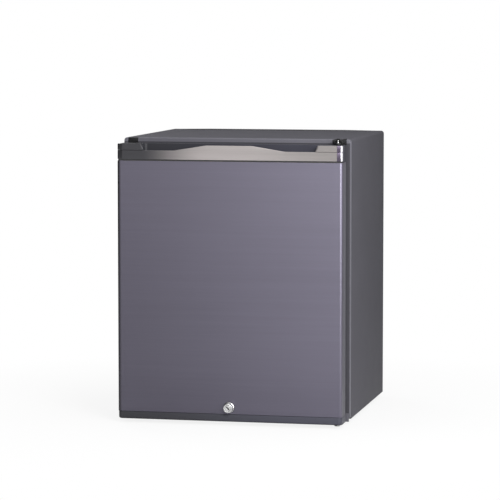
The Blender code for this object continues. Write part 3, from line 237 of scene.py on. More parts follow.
def hexagon(centre, reach, steps):
    """Hexagon as a loop of many points. At an angle a from the middle of a side the loop is
    reach * cos(30 degrees) / cos(a) from the centre, so its corners are at reach."""
    angle, points = circle(steps)
    sixth = math.pi / 3
    radius = reach * math.cos(sixth / 2) / np.cos(angle % sixth - sixth / 2)
    return centre + radius[:, None] * points


def extruded(loop, axis, low, high, soft=0.0, soft_low=None):
    """Prism with rounded end edges: near each end the loop is drawn in by soft * (1 - sin) while its
    level stays soft * (1 - cos) short of the end."""
    soft_low = soft if soft_low is None else soft_low
    cosine, sine = quarter()
    rows = [(soft_low * (1 - s), low + soft_low * (1 - c)) for c, s in zip(cosine, sine)]
    rows += [(soft * (1 - s), high - soft * (1 - c)) for c, s in zip(cosine[::-1], sine[::-1])]
    if not soft_low:
        rows = rows[len(cosine) - 1 :]
    if not soft:
        rows = rows[: -(len(cosine) - 1)]
    return loft([laid(inward(loop, draw), level, axis) for draw, level in rows])


def turned(profile, axis, centre, ring=False, steps=56, knurl=0.0, teeth=24):
    """Surface of revolution: each (radius, level) of the profile goes round the axis. A knurl draws
    the radius in by knurl * radius * (1 + cos(teeth * angle)) / 2."""
    profile = np.asarray(profile, float)
    angle, points = circle(steps)
    points = points * (1 - knurl * (1 + np.cos(teeth * angle)) / 2)[:, None]
    loops = np.asarray(centre) + profile[:, 0, None, None] * points
    return loft(laid(loops, profile[:, 1, None], axis), ring)


def tube(path, radius, sides=24):
    """Round pipe. The first circle stands square to the path, and each next one turns by the least
    that keeps it square, so the pipe doesn't twist."""
    path = np.asarray(path, float)
    tangent = np.gradient(path, axis=0)
    tangent = tangent / np.linalg.norm(tangent, axis=1, keepdims=True)
    across = np.cross(tangent[0], (0.3, 0.5, 0.8))
    frames = []
    for t in tangent:
        across = across - t * (across @ t)
        across = across / np.linalg.norm(across)
        frames.append(across)
    across = np.array(frames)
    up = np.cross(tangent, across)
    points = circle(sides)[1]
    ring = points[:, :1] * across[:, None] + points[:, 1:] * up[:, None]
    return loft(path[:, None] + radius * ring)


def folded_sheet(path, axis, low, high, thickness, soft):
    """Bent sheet of even thickness. The path is the flat line of its outer face, outside to the left.
    Across it a small loop runs up the outer face, over a rounded edge and down the inner face;
    low and high give its two ends and may change along the path."""
    count = len(path)
    low = np.broadcast_to(low, count)[:, None]
    high = np.broadcast_to(high, count)[:, None]
    out = sideways(path, closed=False)
    cosine, sine = quarter(3)
    inner = min(0.3 * soft, thickness - soft)
    depth = np.concatenate((soft * (1 - cosine), thickness - inner * (1 - sine)))
    drop = np.concatenate((soft * (1 - sine), inner * (1 - cosine)))
    drop = np.minimum(drop, (high - low) / 2)
    upper = np.stack(np.broadcast_arrays(depth, high - drop), axis=-1)
    lower = np.stack(np.broadcast_arrays(depth, low + drop), axis=-1)[:, ::-1]
    across = np.concatenate((upper, lower), axis=1)
    flat = path[:, None] - out[:, None] * across[..., :1]
    return loft(laid(flat, across[..., 1], axis))


def open_bin(low, high, wall, corner, rim, floor_r, grooves=0):
    """Open-topped bin. Rounded rectangles follow a path of (inset, height): from under the floor up
    the outside, over a rim thicker than the wall, and down the inside to the floor."""
    outside = [(floor_r * 3, low[2]), (0, low[2]), (0, high[2])]
    radii = [0, floor_r, 0.35 * rim]
    if grooves:
        pitch = (high[2] - low[2]) / (grooves + 2)
        for k in range(grooves):
            level = low[2] + (k + 1.5) * pitch
            at = slice(2 + 3 * k, 2 + 3 * k)
            outside[at] = [(0, level - 1.2), (0.5, level), (0, level + 1.2)]
            radii[at] = [0.4] * 3
    inside = [(rim, high[2]), (rim, high[2] - 5), (wall, high[2] - 8)]
    inside += [(wall, low[2] + wall), (floor_r * 3, low[2] + wall)]
    radii += [0.35 * rim, 1, 1, floor_r * 0.8, 0]
    path = filleted(outside + inside, radii, 4, closed=False)
    loops = []
    for inset, level in path:
        loop = rounded_loop(low[:2] + inset, high[:2] - inset, max(corner - inset, 1))
        loops.append(laid(loop, level, "z"))
    return loft(loops)


def ridge(distance, half, edge):
    """1 within half of a line and 0 outside it, with a straight ramp as wide as edge."""
    return np.clip((half - np.abs(distance)) / edge + 0.5, 0, 1)


def recessed_disc(centre, axis, side, rings, recess, steps=72):
    """Turned head whose face is sunk by a pattern. rings are (radius, height) from the base to the
    middle of the face, heights pointing to side; recess(u, v) is the depth at a flat point."""
    flat = rings[:, 0, None, None] * circle(steps)[1]
    height = rings[:, 1, None] - recess(flat[..., 0], flat[..., 1])
    along = {"x": 0, "y": 1, "z": 2}[axis]
    plane = [k for k in range(3) if k != along]
    return loft(laid(flat + np.asarray(centre)[plane], centre[along] + side * height, axis))


def dome(radius, height, sink=0.0):
    """Rings of a low round head: a short rim, then height * sqrt(1 - share ** 2) over its face."""
    share = np.concatenate(([1, 1], np.linspace(0.985, 0.02, 18)))
    level = 0.35 * height + 0.65 * height * np.sqrt(1 - share**2)
    level[0] = -sink
    return np.stack((radius * share, level), axis=-1)


def cross_screw(centre, axis, side, radius, height, turn=0.0):
    """Pan head screw with a cross recess, turned by an angle."""

    def recess(u, v):
        """Two crossed bars."""
        a = u * math.cos(turn) + v * math.sin(turn)
        b = v * math.cos(turn) - u * math.sin(turn)
        bar, long, edge = 0.13 * radius, 0.55 * radius, 0.12 * radius
        upright = ridge(a, bar, edge) * ridge(b, long, edge)
        level = ridge(b, bar, edge) * ridge(a, long, edge)
        return 0.5 * height * np.maximum(upright, level)

    return recessed_disc(centre, axis, side, dome(radius, height, 0.2), recess)


class Wire:
    """A value in a material's node tree. Sums with numbers or other wires add Math nodes."""

    def __init__(self, recipe, socket):
        self.recipe = recipe
        self.socket = socket

    def math(self, operation, *values):
        """Result of a maths node."""
        inputs = dict(enumerate(values))
        return self.recipe.node("ShaderNodeMath", {"operation": operation}, inputs)

    def __add__(self, other):
        return self.math("ADD", self, other)

    def __sub__(self, other):
        return self.math("SUBTRACT", self, other)

    def __rsub__(self, other):
        return self.math("SUBTRACT", other, self)

    def __mul__(self, other):
        return self.math("MULTIPLY", self, other)

    __radd__ = __add__
    __rmul__ = __mul__


def tinted(colour, *parts):
    """A colour times one factor, or times one factor for each channel."""
    if len(parts) == 1:
        parts = parts * 3
    return tuple(value * part for value, part in zip(colour, parts))


class Recipe:
    """Node tree of a material or a world under construction, and the coordinates of its patterns."""

    def __init__(self, owner, coordinates="Object"):
        owner.use_nodes = True
        self.owner = owner
        self.tree = owner.node_tree
        self.tree.nodes.clear()
        self.place = self.node("ShaderNodeTexCoord", {}, {}, coordinates)

    def node(self, kind, settings, values, output=0):
        """Add a node: its settings first, then numbers or wires for its sockets."""
        made = self.tree.nodes.new(kind)
        for key, value in settings.items():
            setattr(made, key, value)
        for key, value in values.items():
            if isinstance(value, Wire):
                self.tree.links.new(value.socket, made.inputs[key])
            else:
                made.inputs[key].default_value = value
        return Wire(self, made.outputs[output])

    def noise(self, scale, detail=3.0, stretch=(1, 1, 1)):
        """Soft noise from 0 to 1; scale times stretch is in cells to the metre along each axis."""
        place = self.node("ShaderNodeMapping", {}, {"Vector": self.place, "Scale": stretch})
        return self.node("ShaderNodeTexNoise", {}, {"Vector": place, "Scale": scale, "Detail": detail})

    def cells(self, scale):
        """Random grey for each cell of a Voronoi pattern; scale is in cells to the metre."""
        colour = self.node("ShaderNodeTexVoronoi", {}, {"Vector": self.place, "Scale": scale}, "Color")
        return self.node("ShaderNodeSeparateColor", {}, {"Color": colour})

    def ramp(self, value, low, high, start=0.0, end=1.0, kind="LINEAR"):
        """Goes from start to end as a value goes from low to high, and stays level outside."""
        values = {"Value": value, "From Min": low, "From Max": high, "To Min": start, "To Max": end}
        return self.node("ShaderNodeMapRange", {"interpolation_type": kind}, values)

    def part(self, axis):
        """One coordinate of the place."""
        return self.node("ShaderNodeSeparateXYZ", {}, {"Vector": self.place}, axis)

    def along(self, axis, low, high):
        """0 at one place along an axis and 1 at another, both in millimetres, smooth between them."""
        return self.ramp(self.part(axis), low * MM, high * MM, kind="SMOOTHSTEP")

    def rays(self, *kinds):
        """1 for rays of any of the kinds and 0 for all others."""
        found = 0.0
        for kind in kinds:
            found = self.node("ShaderNodeLightPath", {}, {}, f"Is {kind} Ray") + found
        return found.math("MINIMUM", found, 1.0)

    def tint(self, share, first, second):
        """Colour between two colours; each is three numbers or a wire."""
        values = {0: share, 6: self.rgba(first), 7: self.rgba(second)}
        return self.node("ShaderNodeMix", {"data_type": "RGBA"}, values, 2)

    @staticmethod
    def rgba(colour):
        """A colour as a socket takes it."""
        return colour if isinstance(colour, Wire) else (*colour, 1)

    def shaded(self, colour, share, spread):
        """Colour that goes from darker to lighter by a spread as share goes from 0 to 1."""
        return self.tint(share, tinted(colour, 1 - spread), tinted(colour, 1 + spread))

    def bump(self, height, relief):
        """Normal of a height from 0 to 1 that stands for a relief in millimetres."""
        values = {"Height": height, "Distance": relief * MM, "Strength": 1.0}
        return self.node("ShaderNodeBump", {}, values)

    def finished(self, **values):
        """Close the recipe with a Principled shader; names of sockets use _ for a space."""
        inputs = {key.replace("_", " "): value for key, value in values.items()}
        inputs["Base Color"] = self.rgba(inputs["Base Color"])
        return self.close(self.node("ShaderNodeBsdfPrincipled", {}, inputs))

    def close(self, shader, kind="ShaderNodeOutputMaterial"):
        """Link a shader to the tree's output."""
        output = self.tree.nodes.new(kind)
        self.tree.links.new(shader.socket, output.inputs["Surface"])
        return self.owner


def painted(recipe, colour):
    """Satin paint with a fine pebble grain and faint clouds of colour."""
    pebbles = recipe.noise(900.0, 2.0)
    clouds = recipe.noise(22.0, 4.0)
    share = pebbles * 0.55 + clouds * 0.45
    return recipe.finished(
        Base_Color=recipe.shaded(tinted(colour, *STUDIO_TINT), share, 0.28),
        Roughness=0.5 + (clouds - 0.5) * 0.16,
        Specular_IOR_Level=0.12,
        Normal=recipe.bump(pebbles, 0.05),
    )


def moulded(recipe, colour, roughness=0.45, grain=1600.0, relief=0.015, spread=0.12):
    """Moulded plastic: a fine even grain and slightly uneven gloss."""
    skin = recipe.noise(grain, 3.0)
    flow = recipe.noise(14.0, 2.0)
    return recipe.finished(
        Base_Color=recipe.shaded(colour, skin * 0.4 + flow * 0.6, spread),
        Roughness=roughness + (flow - 0.5) * 0.14,
        Specular_IOR_Level=0.2,
        Normal=recipe.bump(skin, relief),
    )


def framed(recipe, colour):
    """Plastic of the frame and the door's sides, with painted light and shade: the frame is painted lighter
    than the door's sides, the land that the seal closes on gets a painted shadow, and the lip at the
    frame's right edge gets a painted highlight."""
    colour = tinted(colour, *STUDIO_TINT)
    skin = recipe.noise(1600.0, 3.0)
    low, high = span("front_frame")
    edge = 0.4
    rim, rail = 0.1, 6.5
    left = recipe.along("X", low[0] + rim, low[0] + rim + edge)
    right = recipe.along("X", high[0] - rim, high[0] - rim - edge)
    top = recipe.along("Z", high[2] - rail, high[2] - rail - edge)
    front = recipe.along("Y", low[1] - edge, low[1])
    # Painted shade: the land inside the frame's rim, where the seal closes, is drawn darker.
    land_shade = left * right * top * front
    # Painted light: the frame is drawn lighter than the door's sides, as lit and shaded copies of one
    # plastic.
    light = recipe.shaded(tinted(colour, 1.2), skin, 0.12)
    face_light_and_shade = recipe.tint(front, recipe.shaded(tinted(colour, 0.95), skin, 0.12), light)
    # Painted highlight: a light line on the lip at the frame's right edge.
    lip = recipe.along("X", high[0] - 0.6, high[0] - 0.1) * front
    face_light_and_shade = recipe.tint(lip, face_light_and_shade, tinted(colour, 1.7))
    return recipe.finished(
        Base_Color=recipe.tint(land_shade, face_light_and_shade, tinted(colour, 0.5)),
        Roughness=0.45,
        Specular_IOR_Level=0.2,
        Normal=recipe.bump(skin, 0.015),
    )


def shaded_plastic(recipe, colour):
    """Dark plastic of the door's caps, with painted light and shade: lighter and bluer towards the right as
    painted light, and darker high up than low down as painted shade.
    """
    skin = recipe.noise(1600.0, 3.0)
    # Painted light: lighter and bluer towards the right, where the light falls.
    share = recipe.along("X", -180, 150) * 0.8 + skin * 0.2
    # Painted shade: darker high up, over the top cap's trough, than on the bottom cap.
    height = recipe.along("Z", 100, 300)
    dark = recipe.tint(height, tinted(colour, 0.85), tinted(colour, 0.5, 0.5, 0.53))
    light = recipe.tint(height, tinted(colour, 1.5, 1.5, 1.8), tinted(colour, 1.25, 1.25, 1.5))
    return recipe.finished(
        Base_Color=recipe.tint(share, dark, light),
        Roughness=0.42,
        Specular_IOR_Level=0.2,
        Normal=recipe.bump(skin, 0.015),
    )


def streaks(recipe, pitch, length):
    """Level brushing lines: noise squeezed to a pitch in Z and drawn out along X and Y."""
    flat, steep = 1 / (length * MM), 1 / (pitch * MM)
    close = recipe.noise(1.0, 3.0, (flat, flat, steep))
    broad = recipe.noise(1.0, 2.0, (flat / 2, flat / 2, 0.18 * steep))
    return close * 0.55 + broad * 0.45


def brushed_door(recipe, colour):
    """Blue-grey metal of the door: level brushing over a painted light that rises slowly to the upper
    right, and a painted shade on the left fold."""
    lines = streaks(recipe, 1.1, 160)
    low, high = span("door_panel")
    # Painted light: the brightness rises slowly towards the upper right.
    rise = recipe.along("X", low[0], high[0]) * 0.45 + recipe.along("Z", low[2], high[2]) * 0.55
    clouds = recipe.noise(7.0, 2.0)
    share = rise * 0.68 + lines * 0.26 + clouds * 0.06
    metal = recipe.shaded(tinted(colour, 0.75, 0.74, 0.82), share, 0.42)
    # Painted shade: the left fold is drawn darker.
    left_fold_shade = recipe.along("X", low[0] + 7.5, low[0] + 2.5)
    return recipe.finished(
        Base_Color=recipe.tint(left_fold_shade, metal, tinted(colour, 0.22)),
        Metallic=0.72,
        Roughness=0.34 + lines * 0.14,
        Normal=recipe.bump(lines, 0.02),
    )


def brushed_strip(recipe, colour):
    """Steel of the handle with painted reflections: warm and light in the middle, fading to a painted dark
    reflection at its left end and a little darker towards its right end, with a painted dark reflection on
    the chamfer and a painted highlight on the nose at its right end."""
    lines = streaks(recipe, 0.8, 120)
    # Painted reflection: dark at the left end, fading in towards the middle, and a little darker towards
    # the right.
    left_reflection_fade = recipe.along("X", -156, -42)
    right_reflection_fade = recipe.along("X", 0, 190)
    steel = recipe.shaded(tinted(colour, 1.04, 1.0, 1.03), lines, 0.14)
    steel = recipe.tint(right_reflection_fade * 0.5, steel, tinted(colour, 0.4))
    steel = recipe.tint(left_reflection_fade, (0.088, 0.087, 0.095), steel)
    # Painted dark reflection on the chamfer, and a painted highlight on the nose at the right end.
    chamfer_reflection = recipe.along("X", STRIP_FRONT_HALF - 1, STRIP_FRONT_HALF + 0.3)
    nose_highlight = recipe.along("X", STRIP_NOSE_HALF - 0.8, STRIP_NOSE_HALF + 0.2)
    steel = recipe.tint(chamfer_reflection, steel, (0.08, 0.065, 0.095))
    steel = recipe.tint(nose_highlight, steel, (0.66, 0.65, 0.68))
    return recipe.finished(
        Base_Color=steel,
        Metallic=0.85,
        Roughness=0.27 + lines * 0.14,
        Normal=recipe.bump(lines, 0.015),
    )


def plated(recipe, colour, roughness, lines=60.0):
    """Polished or tumbled metal with faint handling marks."""
    marks = recipe.noise(lines, 5.0, (1, 1, 6))
    return recipe.finished(
        Base_Color=recipe.shaded(colour, marks, 0.08),
        Metallic=1.0,
        Roughness=roughness + (marks - 0.5) * 0.1,
    )


def galvanised(recipe, colour):
    """Zinc-coated sheet with its crystal flakes."""
    flakes = recipe.cells(130.0)
    grain = recipe.noise(900.0, 2.0)
    return recipe.finished(
        Base_Color=recipe.shaded(colour, flakes, 0.16),
        Metallic=0.9,
        Roughness=0.34 + flakes * 0.16,
        Normal=recipe.bump(grain, 0.01),
    )


def enamelled(recipe, colour):
    """Black pipe paint, half glossy, with a light orange peel and a dusting."""
    peel = recipe.noise(420.0, 2.0)
    dust = recipe.noise(35.0, 4.0)
    return recipe.finished(
        Base_Color=recipe.shaded(tinted(colour, 0.6), dust, 0.35),
        Roughness=0.36 + dust * 0.2,
        Specular_IOR_Level=0.3,
        Normal=recipe.bump(peel, 0.05),
    )


def foamed(recipe, colour):
    """Cut insulating foam with open cells."""
    cells = recipe.cells(700.0)
    return recipe.finished(
        Base_Color=recipe.shaded(colour, cells, 0.16),
        Roughness=0.9,
        Normal=recipe.bump(cells, 0.2),
    )


def clear(recipe, colour):
    """Clear moulded plastic with a faint flow pattern in its gloss."""
    flow = recipe.noise(30.0, 3.0)
    return recipe.finished(
        Base_Color=recipe.shaded(colour, flow, 0.05),
        Roughness=0.06 + flow * 0.1,
        Transmission_Weight=0.9,
        Alpha=0.45,
        IOR=1.49,
    )


# For each slot of the record: how its material is made, and the name and use of its colour.
FINISHES = {
    "cabinet_paint": (painted, "Cabinet", "the painted cabinet"),
    "frame_plastic": (framed, "Frame", "the front frame and the door's sides"),
    "door_metal": (brushed_door, "Door panel", "the brushed door panel"),
    "handle_steel": (brushed_strip, "Handle", "the brushed handle strip"),
    "dark_plastic": (shaded_plastic, "Door caps", "the door's caps, the wiring box and the gland"),
    "black_steel": (enamelled, "Hinge", "the top hinge, the recess plug and the hinge screws"),
    "chrome": (lambda *both: plated(*both, 0.16), "Chrome", "the lock and the top hinge pin"),
    "zinc_steel": (galvanised, "Zinc", "the galvanised sheets and fittings"),
    "black_enamel": (enamelled, "Pipes", "the cooling pipes and the vessel"),
    "aluminium": (lambda *both: plated(*both, 0.34, 220.0), "Aluminium", "the cooling fins"),
    "white_plastic": (
        lambda *both: moulded(*both, 0.32, 700.0, 0.01, 0.03),
        "Liners",
        "the white liners and the thermostat",
    ),
    "seal_rubber": (lambda *both: moulded(*both, 0.62, 1200.0, 0.02), "Seal", "the door seal"),
    "foam": (foamed, "Foam", "the insulation"),
    "clear_plastic": (clear, "Shelves", "the shelves, bins and tray"),
    "foot_rubber": (lambda *both: moulded(*both, 0.75, 1500.0, 0.04), "Feet", "the rubber feet"),
    "nylon": (lambda *both: moulded(*both, 0.5), "Bushes", "the hinge bushes"),
}


def colour_property(slot, title, where):
    """Colour property whose default is the record's colour of a slot."""
    settings = {"subtype": "COLOR", "size": 3, "min": 0, "max": 1, "default": RECORD_COLOURS[slot]}
    return FloatVectorProperty(name=title, description=f"Colour of {where}", **settings)


def number_property(title, what, default, **settings):
    """Number property that doesn't go below zero."""
    return FloatProperty(name=title, description=what, default=default, min=0, **settings)


def length_property(title, what, size):
    """Length property, kept by Blender in metres, from a size in millimetres."""
    return number_property(title, what, size * MM, subtype="DISTANCE", unit="LENGTH")


def power_property(title, where, power):
    """Power of a lamp, in watts."""
    return number_property(title, f"Power of the lamp {where}", power, unit="POWER")


class FridgeColours(bpy.types.PropertyGroup):
    """Colours of the fridge's sixteen finishes."""

    __annotations__ = {slot: colour_property(slot, *words) for slot, (_, *words) in FINISHES.items()}


class FridgeSizes(bpy.types.PropertyGroup):
    """Fine sizes that only the looks use."""

    sheet_edge: length_property("Sheet edge", "Rounding of the cabinet sheet's cut edge", 0.8)
    sheet_bend: length_property("Cabinet bend", "Radius of the cabinet's long top bends", 5)
    frame_edge: length_property("Frame edge", "Rounding of moulded edges on frame and caps", 0.9)
    panel_fold: length_property("Panel fold", "Radius of the folds down both sides of the door", 4)
    panel_edge: length_property("Panel edge", "Rounding of the panel's top and bottom edge", 0.9)
    wave_round: length_property("Wave rounding", "Radius of the bends in the handle's wavy edge", 34)
    mouth_round: length_property("Mouth rounding", "Radius where the liner turns into its lip", 2.5)


class FridgeStage(bpy.types.PropertyGroup):
    """Camera, lamps and floor."""

    camera_place: FloatVectorProperty(
        name="Camera place",
        description="Where the camera stands",
        subtype="TRANSLATION",
        unit="LENGTH",
        size=3,
        default=(0.9833, -4.5583, 0.7049),
    )
    camera_tilt: number_property("Camera tilt", "Turn about X", math.radians(84.87), subtype="ANGLE")
    camera_turn: number_property("Camera turn", "Turn about Z", math.radians(12.25), subtype="ANGLE")
    camera_lens: number_property("Focal length", "Lens in millimetres on a 36 mm sensor", 188.89)
    world_level: number_property("World level", "Brightness of the even light all round", 0.48)
    key_power: power_property("Key lamp", "at the front right", 27)
    edge_power: power_property("Edge lamp", "at the right, which is narrow", 3.6)
    top_power: power_property("Top lamp", "overhead", 11)
    rear_power: power_property("Rear lamp", "behind", 12)
    floor_size: length_property("Floor size", "Side of the square floor", 3000)


made_finishes = {}


def finish(slot):
    """Make or fetch the material of a slot, with the colour from the settings."""
    if slot not in made_finishes:
        recipe = Recipe(bpy.data.materials.new(slot))
        made_finishes[slot] = FINISHES[slot][0](recipe, getattr(bpy.context.scene.fridge_colours, slot))
    return made_finishes[slot]


def fine(name):
    """A fine size from the settings, in millimetres."""
    return getattr(bpy.context.scene.fridge_sizes, name) / MM


def placed(name, mesh, slot, body, nodes=()):
    """Object of a finished mesh, riding on a body in place of the CAD nodes that it stands for."""
    mesh.materials.clear()
    mesh.materials.append(finish(slot))
    mesh.shade_smooth()
    made = bpy.data.objects.new(name, mesh)
    bpy.context.scene.collection.objects.link(made)
    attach(made, body)
    if nodes:
        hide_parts(*nodes)
    return made


def add_piece(name, shape, slot, body, *nodes):
    """Make a piece from a shape, in metres and at the origin, for the CAD nodes that it stands for."""
    mesh = bpy.data.meshes.new(name)
    faces = shape.quads.tolist() + [cap.tolist() for cap in shape.caps]
    mesh.from_pydata((shape.points * MM).tolist(), [], faces)
    placed(name, mesh, slot, body, nodes)
    mesh.set_sharp_from_angle(angle=math.radians(SMOOTH_ANGLE))


def softened(name, node, slot, body, width):
    """Copy of a CAD node with its triangles merged into whole faces and its edges rounded."""
    shape = bmesh.new()
    shape.from_mesh(NODES[node].data)
    bmesh.ops.remove_doubles(shape, verts=shape.verts, dist=0.004 * MM)
    flat = math.radians(0.6)
    bmesh.ops.dissolve_limit(shape, angle_limit=flat, verts=shape.verts, edges=shape.edges)
    mesh = bpy.data.meshes.new(name)
    shape.to_mesh(mesh)
    shape.free()
    edge = placed(name, mesh, slot, body, [node]).modifiers.new("edge", "BEVEL")
    edge.width = width * MM
    edge.segments = 3
    edge.limit_method = "ANGLE"
    edge.angle_limit = math.radians(40)
    edge.harden_normals = True
    edge.use_clamp_overlap = True


def refinish(slot, *nodes):
    """Give CAD nodes that stay as they are their finish."""
    for node in nodes:
        materials = NODES[node].data.materials
        materials.clear()
        materials.append(finish(slot))


class FRIDGE_OT_stage(bpy.types.Operator):
    """Camera, lamps, world and floor"""

    bl_idname = "fridge.stage"
    bl_label = "Stage"

    def execute(self, context):
        stage = context.scene.fridge_stage
        lens = bpy.data.cameras.new("camera")
        lens.lens = stage.camera_lens
        camera = bpy.data.objects.new("camera", lens)
        camera.location = stage.camera_place
        camera.rotation_euler = (stage.camera_tilt, 0, stage.camera_turn)
        context.scene.collection.objects.link(camera)
        context.scene.camera = camera
        context.scene.view_settings.view_transform = "Standard"
        self.lamp("key_lamp", (0.95, -1.6, 1.1), (0.05, -0.1, 0.28), (0.7, 0.7), stage.key_power)
        self.lamp("edge_lamp", (1.1, -0.95, 0.37), (0.2, -0.2, 0.3), (0.16, 0.72), stage.edge_power)
        self.lamp("top_lamp", (0.1, -0.1, 2.4), (0, 0, 0.4), (1.6, 1.6), stage.top_power)
        self.lamp("rear_lamp", (-1.5, 1.7, 1.3), (0, 0.1, 0.25), (1.2, 1.2), stage.rear_power)
        self.make_world(context, stage.world_level)
        self.make_floor(stage.floor_size)
        return {"FINISHED"}

    def lamp(self, name, place, aim, size, power):
        """Soft rectangular lamp that points from its place to its aim: its beam, down when unturned, is
        tilted about X and then turned about Z."""
        light = bpy.data.lights.new(name, "AREA")
        light.shape = "RECTANGLE"
        light.size, light.size_y = size
        light.energy = power
        made = bpy.data.objects.new(name, light)
        made.location = place
        x, y, z = np.subtract(aim, place)
        made.rotation_euler = (math.atan2(math.hypot(x, y), -z), 0, math.atan2(x, -y) + math.pi)
        bpy.context.scene.collection.objects.link(made)

    def make_world(self, context, level):
        """White for the camera and for what glass shows. Matt surfaces get a studio light that is
        weaker from both sides, and reflections show a world that is darker at the left and behind."""
        recipe = Recipe(bpy.data.worlds.new("studio"), "Generated")
        side, depth = recipe.part("X"), recipe.part("Y")
        slope = recipe.ramp(side, -0.75, 0.1, 0.08, 1.0)
        behind = recipe.ramp(depth, 0.1, 0.9, 1.0, 0.12)
        right = recipe.ramp(side, 0.1, 0.9, 1.0, 0.48)
        white = recipe.rays("Camera", "Transmission")
        glossy = recipe.rays("Glossy")
        lit = glossy * slope * behind + (1 - glossy) * level * (0.6 + slope * 0.4) * right
        values = {"Color": (1, 1, 1, 1), "Strength": white + (1 - white) * lit}
        light = recipe.node("ShaderNodeBackground", {}, values)
        context.scene.world = recipe.close(light, "ShaderNodeOutputWorld")

    def make_floor(self, size):
        """Pale floor that shows white and keeps a soft shadow: mostly its own white, partly the
        light that falls on it. Reflections show it paler before the fridge than behind it."""
        half = size / 2
        corners = [(-half, -half, 0), (half, -half, 0), (half, half, 0), (-half, half, 0)]
        mesh = bpy.data.meshes.new("floor")
        mesh.from_pydata(corners, [], [(0, 1, 2, 3)])
        recipe = Recipe(bpy.data.materials.new("floor_white"))
        seen = recipe.rays("Camera", "Transmission")
        before = recipe.rays("Glossy") * recipe.along("Y", 450, -150)
        matt = recipe.node("ShaderNodeBsdfDiffuse", {}, {"Color": 0.45 + seen * 0.5 + before * 0.5})
        glow = recipe.node("ShaderNodeEmission", {}, {"Color": (1, 1, 1, 1), "Strength": 1.0})
        away = recipe.node("ShaderNodeVectorMath", {"operation": "LENGTH"}, {0: recipe.place}, 1)
        share = seen * recipe.ramp(away, 0.3, 0.8, 0.86, 1.0)
        mixed = recipe.node("ShaderNodeMixShader", {}, {0: share, 1: matt, 2: glow})
        mesh.materials.append(recipe.close(mixed))
        floor = bpy.data.objects.new("floor", mesh)
        bpy.context.scene.collection.objects.link(floor)


class FRIDGE_OT_cabinet_shell(bpy.types.Operator):
    """Painted sheet over both sides and the top, with the notch at its rear edge"""

    bl_idname = "fridge.cabinet_shell"
    bl_label = "Cabinet shell"

    def execute(self, context):
        low, high = span("outer_wrapper")
        bar_low, bar_high = span("rear_top_bar")
        notch, slant, step = 188, 9.2, 0.02
        slit_front = bar_low[1] - SLIT_DEPTH
        corners = [(low[0], low[2]), (low[0], high[2]), (high[0], high[2]), (high[0], low[2])]
        bends = filleted(corners, fine("sheet_bend"), 8, closed=False)
        left, right = bends[: len(bends) // 2], bends[len(bends) // 2 :]
        # The rear edge of the top steps forward at the notch and slants to the slit's front edge. Its
        # points are listed from the left side to the middle and mirrored.
        half = np.array([notch, notch - step, notch - slant, 120, 60, 0])
        across = np.concatenate((-half, half[-2::-1]))
        rear = np.array([high[1], bar_low[1], *[slit_front] * 4])
        top = np.stack((across, np.full(len(across), high[2])), axis=-1)
        path = np.concatenate((left, top, right))
        edge = np.full(len(path), high[1])
        edge[len(left) : len(left) + len(top)] = np.concatenate((rear, rear[-2::-1]))
        shape = folded_sheet(path, "y", low[1], edge, 1.2, fine("sheet_edge"))
        add_piece("cabinet_shell", shape, "cabinet_paint", "cabinet", "outer_wrapper")
        bar = rounded_loop(bar_low[1:], bar_high[1:] - (0, 1.5), 1)
        shape = extruded(bar, "x", bar_low[0], bar_high[0], 0.6)
        # The rail on the bar is lowest at both ends and rises over a short run from each.
        reach, run = notch - 0.6, 60
        loops = []
        for x, rise in ((-reach, 0), (run - reach, RAIL_RISE), (reach - run, RAIL_RISE), (reach, 0)):
            rail = rounded_loop((bar_low[1], bar_high[2] - 4), bar_high[1:] + (0, rise), 1.2)
            loops.append(laid(rail, x, "x"))
        add_piece("rear_crossbar", shape + loft(loops), "cabinet_paint", "cabinet", "rear_top_bar")
        # Painted shade: a thin dark strip in front of the rail stands for the shade down in the slit.
        front, back = bar_low[1] - 0.8, bar_low[1] - 0.05
        lip = rounded_loop((front, bar_high[2] - 6), (back, bar_high[2]), 0.3)
        shape = extruded(lip, "x", 2 * slant - notch, notch - 2 * slant, 0.2)
        add_piece("rear_slit_lip", shape, "seal_rubber", "cabinet")
        return {"FINISHED"}


class FRIDGE_OT_front_frame(bpy.types.Operator):
    """Moulded ring round the cabinet's front, the seal's steel face and the recess plug"""

    bl_idname = "fridge.front_frame"
    bl_label = "Front frame"

    def execute(self, context):
        softened("frame_moulding", "front_frame", "frame_plastic", "cabinet", fine("frame_edge"))
        refinish("cabinet_paint", "seal_face")
        softened("recess_plug", "hinge_plug", "black_steel", "cabinet", 0.3)
        return {"FINISHED"}


class FRIDGE_OT_sheets(bpy.types.Operator):
    """Galvanised base and back sheets, the foam inside, and the back sheet's screws"""

    bl_idname = "fridge.sheets"
    bl_label = "Sheets and foam"

    def execute(self, context):
        refinish("zinc_steel", "base_plate", "back_plate")
        refinish("foam", "foam_body", "door_foam")
        low, high = span("back_plate")
        inset = 6.5
        levels = np.linspace(low[2] + 3 * inset, high[2] - 3 * inset, 5)
        screws = [
            cross_screw((x, high[1], z), "y", 1, 3.6, 2.2, 0.4 + i)
            for x in (low[0] + inset, high[0] - inset)
            for i, z in enumerate(levels)
        ]
        add_piece("back_plate_screws", joined(screws), "zinc_steel", "cabinet")
        return {"FINISHED"}


